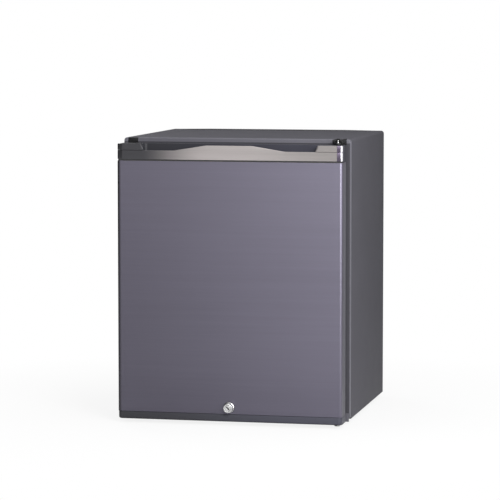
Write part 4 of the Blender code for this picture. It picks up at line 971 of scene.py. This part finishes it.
class FRIDGE_OT_inner_liner(bpy.types.Operator):
    """Thermoformed white inner box with rounded corners, shelf ledges and tray ledges"""

    bl_idname = "fridge.inner_liner"
    bl_label = "Inner liner"

    def execute(self, context):
        low, high = span("inner_liner")
        wide, wall, corner = 12, 2.5, 14
        mouth_low = low[[0, 2]] + wide
        mouth_high = high[[0, 2]] - wide
        lip, back = low[1], high[1]
        deep = back - wall
        # The mouth's rectangle grows by the first number at the second one's depth: from the inner
        # back wall forward, out over the lip and back along the outside.
        path = [(-40, deep), (-2, deep), (0, lip), (wide, lip), (wide, lip + wall)]
        path += [(wall, lip + wall), (wall - 2, back), (-40, back)]
        path = filleted(path, [0, 9, fine("mouth_round"), 0.6, 0.6, 1, 8, 0], 8, closed=False)
        loops = []
        for grow, level in path:
            radius = corner + np.clip(grow, -wide, wide)
            loop = rounded_loop(mouth_low - grow, mouth_high + grow, radius, 10)
            loops.append(laid(loop, level, "y"))
        shape = loft(loops)
        for shelf in ("upper_shelf", "lower_shelf"):
            top = span(shelf)[0][2] - SEAT
            for side, edge in ((-1, mouth_low[0]), (1, mouth_high[0])):
                x = sorted((edge - side * 6.5, edge + side * 1.2))
                ledge = rounded_loop((x[0], lip + 18), (x[1], deep), 1.5, 4)
                shape = shape + extruded(ledge, "z", top - 4, top, 0.8)
        tray = span("drip_tray")[0]
        top = tray[2] - SEAT
        for x in (-55, 45):
            ledge = rounded_loop((x, tray[1] + 10), (x + 10, deep + 1), 2, 4)
            shape = shape + extruded(ledge, "z", top - 6, top, 0.8)
        add_piece("cabinet_liner", shape, "white_plastic", "cabinet", "inner_liner")
        return {"FINISHED"}


class FRIDGE_OT_feet(bpy.types.Operator):
    """Four turned rubber feet, each with its screw sunk in the sole"""

    bl_idname = "fridge.feet"
    bl_label = "Feet"

    def execute(self, context):
        taper, recess = 0.8, 1.8
        for node in ("foot_front_left", "foot_front_right", "foot_rear_left", "foot_rear_right"):
            low, high = span(node)
            centre = (low + high)[:2] / 2
            radius = (high[0] - low[0]) / 2
            profile = [(3.2, high[2]), (radius, high[2]), (radius, 4), (taper * radius, 0)]
            profile += [(5.6, 0), (4.6, recess), (0.5, recess), (0.5, high[2])]
            profile = filleted(profile, [0, 0.6, 1, 0.7, 0.5, 0.3, 0, 0], 4)
            shape = turned(profile, "z", centre, ring=True)
            add_piece(f"{node}_rubber", shape, "foot_rubber", "cabinet", node)
            screw = cross_screw((*centre, recess), "z", -1, 3.8, 1.4, 0.3)
            add_piece(f"{node}_screw", screw, "zinc_steel", "cabinet")
        return {"FINISHED"}


class FRIDGE_OT_hinges(bpy.types.Operator):
    """Brackets, pins, bushes and screws of both hinges"""

    bl_idname = "fridge.hinges"
    bl_label = "Hinges"

    def execute(self, context):
        softened("top_hinge_plate", "top_hinge_bracket", "black_steel", "cabinet", 0.5)
        low, high = span("top_hinge_bracket")
        wide, rise, front, back = 4.6, 1.2, low[1] + 1, high[1] - 1
        side = [(front + 2, low[2] + 1), (back, low[2] + 1), (back, high[2] + rise)]
        side = filleted([*side, (front, high[2] + rise)], [1, 0.5, 0.5, 2.5])
        cheeks = [extruded(side, "x", x, x + wide, 0.6) for x in (low[0], high[0] - wide)]
        add_piece("top_hinge_cheeks", joined(cheeks), "black_steel", "cabinet")
        softened("lower_hinge_plate", "lower_hinge_bracket", "frame_plastic", "cabinet", 0.5)
        inner, point, shaft, collar, tail = 0.3, 2.1, 3, 3.9, 1.8
        tip = high[2]
        low, high = span("top_hinge_pin")
        end, neck = low[2], high[2] - 2
        profile = [(inner, end), (point, end), (shaft, end + 1.5), (shaft, neck), (collar, neck)]
        profile += [(collar, neck + 1), (tail, neck + 1), (tail, tip), (inner, tip)]
        profile = filleted(profile, [0, 0, 0.5, 0, 0.3, 0.3, 0.3, 0.6, 0], 4)
        add_piece("top_pin", turned(profile, "z", HINGE), "chrome", "cabinet", "top_hinge_pin")
        low, high = span("lower_hinge_pin")
        end, neck, foot = high[2], low[2] + 2, low[2]
        flange, bevel = 5, 0.6
        profile = [(inner, end), (point, end), (shaft, end - 1.5), (shaft, neck), (flange, neck)]
        profile += [(flange, foot + bevel), (flange - bevel, foot), (inner, foot)]
        profile = filleted(profile, [0, 0, 0.5, 0, 0.3, 0.3, 0.4, 0], 4)
        add_piece("lower_pin", turned(profile, "z", HINGE), "zinc_steel", "cabinet", "lower_hinge_pin")
        for node in ("top_bush", "lower_bush"):
            low, high = span(node)
            loop = rounded_loop((shaft + SEAT, low[2]), (flange, high[2]), 0.4, 3)
            add_piece(f"{node}_ring", turned(loop, "z", HINGE, ring=True), "nylon", "door", node)
        for node in [f"{place}_hinge_screw_{k}" for place in ("top", "lower") for k in (1, 2)]:
            low, high = span(node)
            x, _, z = (low + high) / 2
            face = low[1] + 1.8
            shank = turned([(0.2, face), (1.2, face), (1.2, high[1]), (0.2, high[1])], "y", (x, z))
            head = cross_screw((x, face, z), "y", -1, 2.1, 1.8, 0.5 + 0.09 * x)
            add_piece(f"{node}_head", head + shank, "black_steel", "cabinet", node)
        return {"FINISHED"}


class FRIDGE_OT_strike_and_switch(bpy.types.Operator):
    """Strike plate with its two screws, and the lamp switch in its collar"""

    bl_idname = "fridge.strike_and_switch"
    bl_label = "Strike and switch"

    def execute(self, context):
        softened("strike_hook", "strike_plate", "zinc_steel", "cabinet", 0.3)
        low, high = span("strike_plate")
        face, level = high[1] - 1.5, low[2] + 9
        screws = [cross_screw((10 * k, face, level), "y", -1, 2.4, 1.1, 0.7 * k) for k in (-1, 1)]
        add_piece("strike_screws", joined(screws), "zinc_steel", "cabinet")
        low, high = span("switch_plunger")
        centre = ((low + high) / 2)[[0, 2]]
        profile = [(0.2, low[1]), (3, low[1]), (3, high[1]), (0.2, high[1])]
        shape = turned(filleted(profile, [0, 2.2, 0.3, 0], 6), "y", centre)
        add_piece("switch_button", shape, "white_plastic", "lamp_switch", "switch_plunger")
        front = span("front_frame")[0][1]
        loop = rounded_loop((3.5, front - 1.2), (5.6, front - 0.02), 0.5, 4)
        add_piece("switch_collar", turned(loop, "y", centre, ring=True), "white_plastic", "cabinet")
        return {"FINISHED"}


class FRIDGE_OT_shelves(bpy.types.Operator):
    """Two clear shelves with a rounded front lip"""

    bl_idname = "fridge.shelves"
    bl_label = "Shelves"

    def execute(self, context):
        for node, body in (("upper_shelf", "top_shelf"), ("lower_shelf", "bottom_shelf")):
            low, high = span(node)
            front, back, under, top = low[1], high[1], low[2], high[2]
            plate = under + 4
            outline = [(front, under), (back, under), (back, plate), (front + 7, plate)]
            outline = filleted([*outline, (front + 4, top), (front, top)], [1, 0.8, 0.8, 2.5, 1.7, 1.7], 5)
            shape = extruded(outline, "x", low[0], high[0], 0.8)
            add_piece(f"{node}_plate", shape, "clear_plastic", body, node)
        return {"FINISHED"}


class FRIDGE_OT_cooling_inside(bpy.types.Operator):
    """Finned cooling block on the rear wall and the drip tray under it"""

    bl_idname = "fridge.cooling_inside"
    bl_label = "Cooling block and tray"

    def execute(self, context):
        softened("cooling_block", "evaporator", "aluminium", "cabinet", 0.25)
        low, high = span("drip_tray")
        shape = open_bin(low, high, 1.5, 5, 2.4, 2.5)
        add_piece("meltwater_tray", shape, "clear_plastic", "tray", "drip_tray")
        return {"FINISHED"}


class FRIDGE_OT_thermostat(bpy.types.Operator):
    """Thermostat box with its numbered scale and the ridged knob"""

    bl_idname = "fridge.thermostat"
    bl_label = "Thermostat"

    def execute(self, context):
        softened("thermostat_case", "thermostat_box", "white_plastic", "cabinet", 0.9)
        low, high = span("thermostat_knob")
        front = span("thermostat_box")[0][1]
        centre = ((low + high) / 2)[[0, 2]]
        radius = (high[0] - low[0]) / 2
        base, face = front - SEAT, low[1] + 4
        profile = [(0.2, face), (0.84 * radius, face), (radius, face + 2), (radius, base)]
        profile += [(3, base), (3, high[1]), (0.2, high[1])]
        profile = filleted(profile, [0, 0.8, 1.2, 0.4, 0, 0, 0], 5)
        shape = turned(profile, "y", centre, steps=240, knurl=0.035, teeth=40)
        grip = rounded_loop(centre + (-2, -9.2), centre + (2, 10.4), 1.9)
        shape = shape + extruded(grip, "y", low[1], face + 0.5, 0.0, 1)
        add_piece("thermostat_dial", shape, "white_plastic", "temperature_dial", "thermostat_knob")
        pointer = rounded_loop(centre + (-0.4, 4), centre + (0.4, 9.4), 0.3, 3)
        mark = extruded(pointer, "y", low[1] - 0.1, low[1] + 0.4)
        add_piece("thermostat_pointer", mark, "dark_plastic", "temperature_dial")
        self.scale(centre, front, radius)
        return {"FINISHED"}

    def scale(self, centre, front, radius):
        """Ticks and the numbers 0 to 5 round the knob, over 270 degrees, as raised dark print."""
        relief, half = 0.12, 0.25
        near, far, middle = radius + 0.7, radius + 2.0, 16.6
        ticks, numbers = [], []
        for number in range(6):
            angle = math.radians(225 - 54 * number)
            out = np.array((math.cos(angle), math.sin(angle)))
            aside = half * np.array((-out[1], out[0]))
            mark = np.array([near * out - aside, far * out - aside, far * out + aside, near * out + aside])
            ticks.append(extruded(centre + mark, "y", front - relief, front + 0.02))
            numbers.append(self.digit(number, centre + middle * out, front - relief / 2, relief))
        add_piece("thermostat_numbers", joined(numbers), "dark_plastic", "cabinet")
        add_piece("thermostat_ticks", joined(ticks), "dark_plastic", "cabinet")

    def digit(self, number, centre, level, relief):
        """A digit of Blender's own typeface, stood up so that it faces the front."""
        text = bpy.data.curves.new("digit", "FONT")
        text.body = str(number)
        text.size = 3.4 * MM
        text.extrude = relief / 2 * MM
        text.align_x = text.align_y = "CENTER"
        holder = bpy.data.objects.new("digit", text)
        bpy.context.scene.collection.objects.link(holder)
        bpy.context.view_layer.update()
        flat = bpy.data.meshes.new_from_object(holder)
        points = np.empty((len(flat.vertices), 3), np.float32)
        flat.vertices.foreach_get("co", points.ravel())
        points = points / MM
        faces = [np.array(face.vertices) for face in flat.polygons]
        bpy.data.objects.remove(holder)
        bpy.data.curves.remove(text)
        bpy.data.meshes.remove(flat)
        upright = laid(points[:, :2] + centre, level - points[:, 2], "y")
        return Shape(upright, np.empty((0, 4), int), faces)


class FRIDGE_OT_lamp(bpy.types.Operator):
    """Fluted cover of the inside lamp"""

    bl_idname = "fridge.lamp"
    bl_label = "Lamp cover"

    def execute(self, context):
        low, high = span("lamp_cover")
        corners = [(low[1], low[2]), (high[1], low[2]), (high[1], high[2]), (low[1], high[2])]
        outline = filleted(corners, [3, 3, 0.3, 0.3], 6)
        x = np.linspace(low[0], high[0], 181)
        # The outline is drawn in by a wave along X, depth / 2 * (1 + cos), and at each end by a
        # quarter circle.
        pitch, depth, round_end = 3, 0.5, 3
        end = np.clip(np.minimum(x - low[0], high[0] - x) / round_end, 0, 1)
        flute = depth / 2 * (1 + np.cos(2 * math.pi * x / pitch))
        draw = flute * end + round_end * (1 - np.sqrt(1 - (1 - end) ** 2))
        shape = loft([laid(inward(outline, d), level, "x") for d, level in zip(draw, x)])
        add_piece("lamp_lens", shape, "clear_plastic", "cabinet", "lamp_cover")
        return {"FINISHED"}


class FRIDGE_OT_cooling_unit(bpy.types.Operator):
    """Vessel, winding coil, boiler can and pipes behind the back plate"""

    bl_idname = "fridge.cooling_unit"
    bl_label = "Cooling unit"

    def execute(self, context):
        self.vessel()
        self.coil()
        self.boiler()
        self.pipes()
        softened("condenser_block", "condenser_fins", "aluminium", "cabinet", 0.2)
        return {"FINISHED"}

    def vessel(self):
        """Horizontal vessel: straight between two weld beads, half ellipses at its ends."""
        low, high = span("absorber_vessel")
        radius = (high[2] - low[2]) / 2
        domed = 0.6 * radius
        cosine, sine = quarter(12)
        straight = high[0] - domed
        half = []
        for angle in np.linspace(0, math.pi, 7)[:-1]:
            half.append((radius + 0.9 * math.sin(angle), straight - 4 * (1 - angle / math.pi)))
        half += [(max(radius * c, 0.2), straight + domed * s) for c, s in zip(cosine, sine)]
        profile = [(r, -x) for r, x in reversed(half)] + half
        centre = ((low + high) / 2)[1:]
        add_piece("vessel_body", turned(profile, "x", centre), "black_enamel", "cabinet", "absorber_vessel")

    def coil(self):
        """Level runs joined by half turns, and the stub that joins them to the vessel, with the
        bead of the weld between them."""
        low, high = span("absorber_coil")
        stub_low, stub_high = span("coil_stub")
        stub_x = (stub_low[0] + stub_high[0]) / 2
        levels = np.linspace(low[2] + COIL_R, high[2] - COIL_R, COIL_RUNS)
        left = low[0] + COIL_R
        corners = []
        for i, z in enumerate(levels):
            ends = [(left, UNIT_Y, z), (COIL_TURN_X, UNIT_Y, z)]
            corners += ends if i % 2 == 0 else ends[::-1]
        corners[-1] = (high[0], UNIT_Y, levels[-1])
        bend = 0.48 * (levels[1] - levels[0])
        weld = levels[0] - bend - 0.2
        corners = [(stub_x, UNIT_Y, weld), (stub_x, UNIT_Y, levels[0])] + corners[1:]
        path = filleted(corners, bend, 8, closed=False)
        add_piece("coil_pipe", tube(path, COIL_R), "black_enamel", "cabinet", "absorber_coil")
        parts = []
        for start, end, radius in ((stub_low[2], weld, COIL_R), (weld - 2, weld + 2, COIL_R + 0.7)):
            path = [(stub_x, UNIT_Y, z) for z in np.linspace(start, end, 5)]
            parts.append(tube(path, radius))
        add_piece("coil_riser", joined(parts), "black_enamel", "cabinet", "coil_stub")

    def boiler(self):
        """Galvanised can: a rounded box with two clamp bands and a lapped seam."""
        low, high = span("boiler_can")
        bottom, top, back = low[2], high[2], high[1]
        can = rounded_loop(low[:2], high[:2], 9, 8)
        band = rounded_loop(low[:2] - 0.5, high[:2] + 0.5, 9.5, 8)
        seam = rounded_loop((BOILER_X - 8, back - 1), (BOILER_X + 2, back + 0.7), 0.5)
        shape = extruded(can, "z", bottom, top, 3)
        for z in (bottom + 40, top - 40):
            shape = shape + extruded(band, "z", z - 6, z + 6, 0.4)
        shape = shape + extruded(seam, "z", bottom + 3, top - 3, 0.3)
        add_piece("boiler_casing", shape, "zinc_steel", "cabinet", "boiler_can")

    def pipes(self):
        """Feed, rising and return pipes along their bent routes."""
        low, high = span("liquid_pipe")
        x, bottom = high[0] - COIL_R, low[2] + COIL_R
        feed = [(x, UNIT_Y, high[2]), (x, UNIT_Y, bottom), (low[0], UNIT_Y, bottom)]
        low, high = span("ammonia_pipe")
        x, top, hole = low[0] + PIPE_R, high[2] - PIPE_R, -PIPE_HOLE_X
        rising = [(BOILER_X, UNIT_Y, low[2]), (BOILER_X, UNIT_Y, top), (x, UNIT_Y, top)]
        rising += [(x, UNIT_Y, PIPE_HOLE_Z), (hole, UNIT_Y, PIPE_HOLE_Z), (hole, low[1], PIPE_HOLE_Z)]
        low, hole = span("return_pipe")[0], PIPE_HOLE_X
        falling = [(hole, low[1], PIPE_HOLE_Z), (hole, UNIT_Y, PIPE_HOLE_Z), (hole, UNIT_Y, low[2])]
        for name, node, route, radius in (
            ("feed_pipe", "liquid_pipe", feed, COIL_R),
            ("rising_pipe", "ammonia_pipe", rising, PIPE_R),
            ("falling_pipe", "return_pipe", falling, PIPE_R),
        ):
            shape = tube(filleted(route, 2 * radius, 10, closed=False), radius)
            add_piece(name, shape, "black_enamel", "cabinet", node)


class FRIDGE_OT_junction_box(bpy.types.Operator):
    """Wiring box with its lid, screws and cord gland"""

    bl_idname = "fridge.junction_box"
    bl_label = "Junction box"

    def execute(self, context):
        low, high = span("junction_box")
        loop = rounded_loop(low[[0, 2]], high[[0, 2]], 3)
        shape = extruded(loop, "y", low[1], high[1] - 6.4, 0.6)
        shape = shape + extruded(inward(loop, 0.8), "y", high[1] - 7, high[1] - 5.4)
        shape = shape + extruded(loop, "y", high[1] - 5.8, high[1], 1.6, 0.5)
        add_piece("wiring_box", shape, "dark_plastic", "cabinet", "junction_box")
        x = (low[0] + high[0]) / 2
        levels = (low[2] + 9, high[2] - 9)
        heads = [cross_screw((x, high[1], z), "y", 1, 3.2, 1.6, 0.04 * z) for z in levels]
        add_piece("wiring_box_screws", joined(heads), "zinc_steel", "cabinet")
        low, high = span("cord_gland")
        centre = ((low + high) / 2)[:2]
        nut_low = high[2] - 6.4
        shape = extruded(hexagon(centre, 8, 72), "z", nut_low, high[2], 0.4)
        bore = 3.6
        profile = [(bore, nut_low + 1), (7.2, nut_low + 1)]
        # Strain relief: four ribs, each narrower than the one above.
        for k in range(4):
            z, narrower = nut_low - 0.5 - 2.2 * k, 0.2 * k
            profile += [(6.9 - narrower, z), (6.1 - narrower, z - 1.1)]
        profile += [(6, low[2]), (bore, low[2])]
        shape = shape + turned(profile, "z", centre, ring=True)
        add_piece("gland_nut", shape, "dark_plastic", "cabinet", "cord_gland")
        return {"FINISHED"}


def door_fold(half, front, back, radius):
    """Plan line of a skin round the door, from right to left: back edge, side, front, side, back edge."""
    corners = [(half, back), (half, front), (-half, front), (-half, back)]
    line = filleted(corners, radius, 10, closed=False)
    across = np.linspace(half - radius, -half + radius, 161)[1:-1]
    middle = np.stack((across, np.full(len(across), front)), axis=-1)
    return np.concatenate((line[: len(line) // 2], middle, line[len(line) // 2 :]))


class FRIDGE_OT_door_panel(bpy.types.Operator):
    """Brushed metal skin folded round both sides of the door"""

    bl_idname = "fridge.door_panel"
    bl_label = "Door panel"

    def execute(self, context):
        low, high = span("door_panel")
        path = door_fold(high[0], low[1], high[1], fine("panel_fold"))
        shape = folded_sheet(path, "z", low[2], high[2], 1, fine("panel_edge"))
        add_piece("door_skin", shape, "door_metal", "door", "door_panel")
        return {"FINISHED"}


class FRIDGE_OT_door_sides(bpy.types.Operator):
    """Plastic profiles up both sides of the door, with a shallow groove"""

    bl_idname = "fridge.door_sides"
    bl_label = "Door sides"

    def execute(self, context):
        for node, side in (("door_side_left", -1), ("door_side_right", 1)):
            low, high = span(node)
            near, out = sorted((low[0], high[0]), key=abs)
            front, back, deep = low[1], high[1], out - side * 0.9
            groove = front + 15
            outline = [(out, front), (out, groove), (deep, groove + 0.8), (deep, groove + 2.4)]
            outline += [(out, groove + 3.2), (out, back - 4), (out - side * 4, back)]
            outline += [(near, back), (near, front)]
            radii = [0.5, 0.3, 0.2, 0.2, 0.3, 2, 2, 0, 0]
            shape = extruded(filleted(outline, radii, 4), "z", low[2], high[2], 0.2)
            add_piece(f"{node}_profile", shape, "frame_plastic", "door", node)
        return {"FINISHED"}


class FRIDGE_OT_door_caps(bpy.types.Operator):
    """Dark caps on top of the door, with the finger trough, and along its bottom"""

    bl_idname = "fridge.door_caps"
    bl_label = "Door caps"

    def execute(self, context):
        softened("trough_cap", "door_top_cap", "dark_plastic", "door", 0.5)
        self.bead()
        low, high = span("door_bottom_cap")
        back, slant = high[1], 4
        corners = [(low[0], low[1]), (high[0], low[1]), (high[0], back - slant)]
        corners += [(high[0] - slant, back), (low[0] + slant, back), (low[0], back - slant)]
        shape = extruded(filleted(corners, [7, 7, 2, 2, 2, 2], 8), "z", low[2], high[2], 0.4, 3.5)
        add_piece("door_foot_cap", shape, "dark_plastic", "door", "door_bottom_cap")
        return {"FINISHED"}

    def bead(self):
        """Dark band in the seam between the panel and the handle strip, as painted shade."""
        low, high = span("door_panel")
        path = door_fold(high[0] - 1, low[1] + 1.4, high[1], 4)
        top = span("handle_strip")[0][2] + STRIP_SEAM + 0.3
        shape = folded_sheet(path, "z", high[2] + 0.05, top, 0.5, 0.1)
        # Painted shade: a thin dark band fills the seam where shade falls under the strip.
        add_piece("seam_bead", shape, "seal_rubber", "door")


class FRIDGE_OT_handle(bpy.types.Operator):
    """Brushed steel strip with its long wavy edge, and the two corner blocks above it"""

    bl_idname = "fridge.handle"
    bl_label = "Handle strip"

    def execute(self, context):
        low, high = span("handle_strip")
        top = span("end_block_right")[1][2]
        low_line, high_line = top - STRIP_LOW, top - STRIP_HIGH
        half, front, back = high[0], low[1], high[1]
        # Plan line from the right: back edge, end, nose and chamfer, mirrored for the left, and
        # between them the flat face.
        right = [(half, back), (half, front + 3.2), (STRIP_NOSE_HALF, front + 1.5)]
        right.append((STRIP_FRONT_HALF, front))
        corners = right + [(-x, y) for x, y in reversed(right)]
        line = filleted(corners, [0, 2, 1.4, 0.5, 0.5, 1.4, 2, 0], 6, closed=False)
        middle = len(line) // 2
        across = np.linspace(STRIP_FRONT_HALF - 1, -STRIP_FRONT_HALF + 1, 401)
        face = np.stack((across, np.full(len(across), front)), axis=-1)
        path = np.concatenate((line[:middle], face, line[middle:]))
        # Height of the upper edge from the middle outwards: the high line, a slope and the low line.
        bend = fine("wave_round")
        wave = [(0, high_line), (STRIP_BULGE_HALF, high_line), (STRIP_SLOPE_HALF, low_line)]
        wave = filleted([*wave, (half, low_line)], [0, bend, bend, 0], 12, closed=False)
        edge = np.interp(np.abs(path[:, 0]), wave[:, 0], wave[:, 1])
        shape = folded_sheet(path, "z", low[2] + STRIP_SEAM, edge, STRIP_T, 0.9)
        add_piece("wave_strip", shape, "handle_steel", "door", "handle_strip")
        for node, side in (("end_block_left", -1), ("end_block_right", 1)):
            ends = path[path[:, 0] * side >= STRIP_POCKET_HALF]
            rise = np.clip((np.abs(ends[:, 0]) - STRIP_POCKET_HALF) / STRIP_BLOCK_SLANT, 0.02, 1)
            block_low = low_line + SEAT
            block_high = block_low + rise * (top - block_low)
            shape = folded_sheet(ends, "z", block_low, block_high, STRIP_T, 0.7)
            add_piece(f"{node}_cover", shape, "handle_steel", "door", node)
        return {"FINISHED"}


class FRIDGE_OT_door_liner(bpy.types.Operator):
    """White inner face of the door with its raised plug, two cheeks and the bins' ledges"""

    bl_idname = "fridge.door_liner"
    bl_label = "Door liner"

    def execute(self, context):
        low, high = span("door_liner")
        flange, inner, reach = low[1], low[1] + 2, -132
        plug_low, plug_high = np.array((-162, 65)), np.array((162, 452))
        edge_low, edge_high = low[[0, 2]], high[[0, 2]]
        # Rounded rectangles, from the flange's outer edge over the plug's side to its face.
        rows = [(edge_low, edge_high, 4, level) for level in (flange, inner - 0.5)]
        rows.append((edge_low + 0.5, edge_high - 0.5, 4, inner))
        path = filleted([(-5, inner), (0, inner), (4, reach), (40, reach)], [0, 2, 6, 0], 8, closed=False)
        for inset, level in path:
            rows.append((plug_low + inset, plug_high - inset, max(12 - inset, 6), level))
        shape = loft([laid(rounded_loop(a, b, radius, 8), level, "y") for a, b, radius, level in rows])
        root, bottom, top = reach - 1, 73, 444
        cheek = [(root, bottom), (high[1], bottom), (high[1], top), (root, top)]
        cheek = filleted(cheek, [0, 14, 14, 0], 10)
        for side in (-1, 1):
            x = sorted((side * 157, side * 151))
            shape = shape + extruded(cheek, "x", x[0], x[1], 1.6)
            x = sorted((side * 154, side * 144))
            ledge = rounded_loop((x[0], reach + 6), (x[1], reach + 27), 2)
            for rack in ("upper_rack", "lower_rack"):
                top = span(rack)[0][2] - SEAT
                shape = shape + extruded(ledge, "z", top - 8, top, 1)
        add_piece("door_inner_face", shape, "white_plastic", "door", "door_liner")
        return {"FINISHED"}


class FRIDGE_OT_gasket(bpy.types.Operator):
    """Magnetic door seal: a bellows section carried round a rounded rectangle"""

    bl_idname = "fridge.gasket"
    bl_label = "Door seal"

    def execute(self, context):
        low, high = span("door_gasket")
        width, base, depth = 14, low[1], high[1] - low[1]
        waist = 0.22 * width
        lip = waist / 3
        # Section as (inset, share of the depth): up one side by foot, waist and magnet lip, and
        # down the other.
        section = [(0, 0), (0, 0.25), (waist, 0.5), (lip, 0.75), (lip, 1), (width - lip, 1)]
        section += [(width - lip, 0.75), (width - waist, 0.5), (width, 0.25), (width, 0)]
        section = [(inset, base + depth * share) for inset, share in section]
        section = filleted(section, 1.1, 4)
        loops = []
        for inset, level in section:
            loop = rounded_loop(low[[0, 2]] + inset, high[[0, 2]] - inset, max(10 - inset, 2), 8)
            loops.append(laid(loop, level, "y"))
        add_piece("seal_bellows", loft(loops, ring=True), "seal_rubber", "door", "door_gasket")
        return {"FINISHED"}


class FRIDGE_OT_racks(bpy.types.Operator):
    """Two clear door bins with a thick rim and level grooves"""

    bl_idname = "fridge.racks"
    bl_label = "Door bins"

    def execute(self, context):
        for node, body, grooves in (("upper_rack", "upper_bin", 2), ("lower_rack", "lower_bin", 4)):
            low, high = span(node)
            shape = open_bin(low, high, 2, 8, 3, 3.5, grooves)
            add_piece(f"{node}_bin", shape, "clear_plastic", body, node)
        return {"FINISHED"}


class FRIDGE_OT_lock(bpy.types.Operator):
    """Cylinder lock: ringed head on a dark ring of painted shade, key face, hexagon nut and cam"""

    bl_idname = "fridge.lock"
    bl_label = "Lock"

    def execute(self, context):
        low, high = span("lock_housing")
        centre = ((low + high) / 2)[[0, 2]]
        front, radius, bore = low[1], (high[0] - low[0]) / 2, 5
        shoulder = span("door_panel")[0][1] - SEAT
        # From the bore: the inner ring, a groove, the rim, the flange on the panel and the thread.
        profile = [(bore, front + 0.5), (bore + 0.5, front), (6.1, front)]
        profile += [(6.4, front + 0.5), (6.8, front + 0.5), (7.1, front + 0.1)]
        profile += [(radius, front + 1.2), (radius, shoulder - 1.6)]
        profile += [(LOCK_FLANGE, shoulder - 1), (LOCK_FLANGE, shoulder), (7, shoulder)]
        profile += [(7, high[1]), (bore, high[1])]
        radii = [0, 0.2, 0.1, 0.1, 0.1, 0.1, 0.7, 0.8, 0.4, 0.1, 0, 0.2, 0.2]
        shape = turned(filleted(profile, radii, 4), "y", centre, ring=True, steps=96)
        add_piece("lock_collar", shape, "chrome", "door", "lock_housing")
        # Painted shade: a dark ring under the flange stands for the shadow round the lock's head.
        shadow_ring = rounded_loop((7.2, shoulder + 0.03), (LOCK_FLANGE + 0.6, shoulder + SEAT - 0.03), 0.1)
        add_piece("lock_washer", turned(shadow_ring, "y", centre, ring=True), "seal_rubber", "door")
        self.barrel(centre)
        low, high = span("lock_nut")
        outside, hole = hexagon(centre, 10, 96), centre + 7.3 * circle(96)[1]
        loops = [(outside, low[1]), (outside, high[1] - 0.5), (inward(outside, 0.5), high[1])]
        loops = [laid(loop, level, "y") for loop, level in [*loops, (hole, high[1]), (hole, low[1])]]
        add_piece("lock_hex_nut", loft(loops, ring=True), "zinc_steel", "door", "lock_nut")
        softened("lock_tongue", "lock_cam", "zinc_steel", "lock_barrel", 0.25)
        return {"FINISHED"}

    def barrel(self, centre):
        """Turning plug with a slanted key slot sunk into its face."""
        low, high = span("lock_plug")
        front, back = low[1], high[1]
        radius, tail, head_back = 4.7, 2.6, -150.3
        slope = math.radians(45)

        def slot(u, v):
            """A long bar with a short notch beside it."""
            along = u * math.cos(slope) - v * math.sin(slope)
            across = u * math.sin(slope) + v * math.cos(slope)
            wide = ridge(across, 0.9, 0.2) * ridge(along, 3.1, 0.3)
            notch = ridge(across - 0.8, 0.6, 0.2) * ridge(along - 1, 1, 0.3)
            return 2.5 * np.maximum(wide, notch) * (np.hypot(u, v) < 0.9 * radius)

        share = np.concatenate(([1, 1, 0.96], np.linspace(0.93, 0.01, 36)))
        level = np.zeros(len(share))
        level[:2] = front - head_back, -0.3
        rings = np.stack((radius * share, level), axis=-1)
        face = recessed_disc((centre[0], front, centre[1]), "y", -1, rings, slot, 120)
        tail_from = head_back - 0.5
        profile = [(0.2, tail_from), (tail, tail_from), (tail, back - 1.5), (4.2, back - 1.5)]
        shape = face + turned([*profile, (3.8, back), (0.2, back)], "y", centre)
        add_piece("lock_barrel_face", shape, "chrome", "lock_barrel", "lock_plug")
        turn = np.array(((math.cos(slope), -math.sin(slope)), (math.sin(slope), math.cos(slope))))
        # Painted shade: a dark insert in the key slot stands for the shade in a deep keyhole.
        keyhole_outline = rounded_loop((-3, -0.8), (3, 0.8), 0.3, 3) @ turn + centre
        keyhole_shade = extruded(keyhole_outline, "y", front + 0.5, front + 2.6)
        add_piece("lock_keyway", keyhole_shade, "black_steel", "lock_barrel")


class FRIDGE_PT_panel(bpy.types.Panel):
    """List of the fridge's steps and settings"""

    bl_idname = "FRIDGE_PT_panel"
    bl_label = "Minibar Fridge"
    bl_space_type = "VIEW_3D"
    bl_region_type = "UI"
    bl_category = "Fridge"

    def draw(self, context):
        layout = self.layout
        for step in STEPS:
            layout.operator(step.bl_idname)
        for group in ("fridge_sizes", "fridge_colours", "fridge_stage"):
            box = layout.box()
            settings = getattr(context.scene, group)
            for name in settings.__annotations__:
                box.prop(settings, name)


GROUPS = {"fridge_colours": FridgeColours, "fridge_sizes": FridgeSizes, "fridge_stage": FridgeStage}

STEPS = (
    FRIDGE_OT_stage,
    FRIDGE_OT_cabinet_shell,
    FRIDGE_OT_front_frame,
    FRIDGE_OT_sheets,
    FRIDGE_OT_inner_liner,
    FRIDGE_OT_feet,
    FRIDGE_OT_hinges,
    FRIDGE_OT_strike_and_switch,
    FRIDGE_OT_shelves,
    FRIDGE_OT_cooling_inside,
    FRIDGE_OT_thermostat,
    FRIDGE_OT_lamp,
    FRIDGE_OT_cooling_unit,
    FRIDGE_OT_junction_box,
    FRIDGE_OT_door_panel,
    FRIDGE_OT_door_sides,
    FRIDGE_OT_door_caps,
    FRIDGE_OT_handle,
    FRIDGE_OT_door_liner,
    FRIDGE_OT_gasket,
    FRIDGE_OT_racks,
    FRIDGE_OT_lock,
)


def register():
    """Register the settings, the steps and the panel."""
    for name, group in GROUPS.items():
        bpy.utils.register_class(group)
        setattr(bpy.types.Scene, name, PointerProperty(type=group))
    for step in STEPS:
        bpy.utils.register_class(step)
    bpy.utils.register_class(FRIDGE_PT_panel)


def unregister():
    """Take back what register added."""
    bpy.utils.unregister_class(FRIDGE_PT_panel)
    for step in reversed(STEPS):
        bpy.utils.unregister_class(step)
    for name, group in GROUPS.items():
        delattr(bpy.types.Scene, name)
        bpy.utils.unregister_class(group)


def main():
    """Make every piece in order."""
    register()
    for step in STEPS:
        group, name = step.bl_idname.split(".")
        getattr(getattr(bpy.ops, group), name)()


if __name__ == "__main__":
    main()
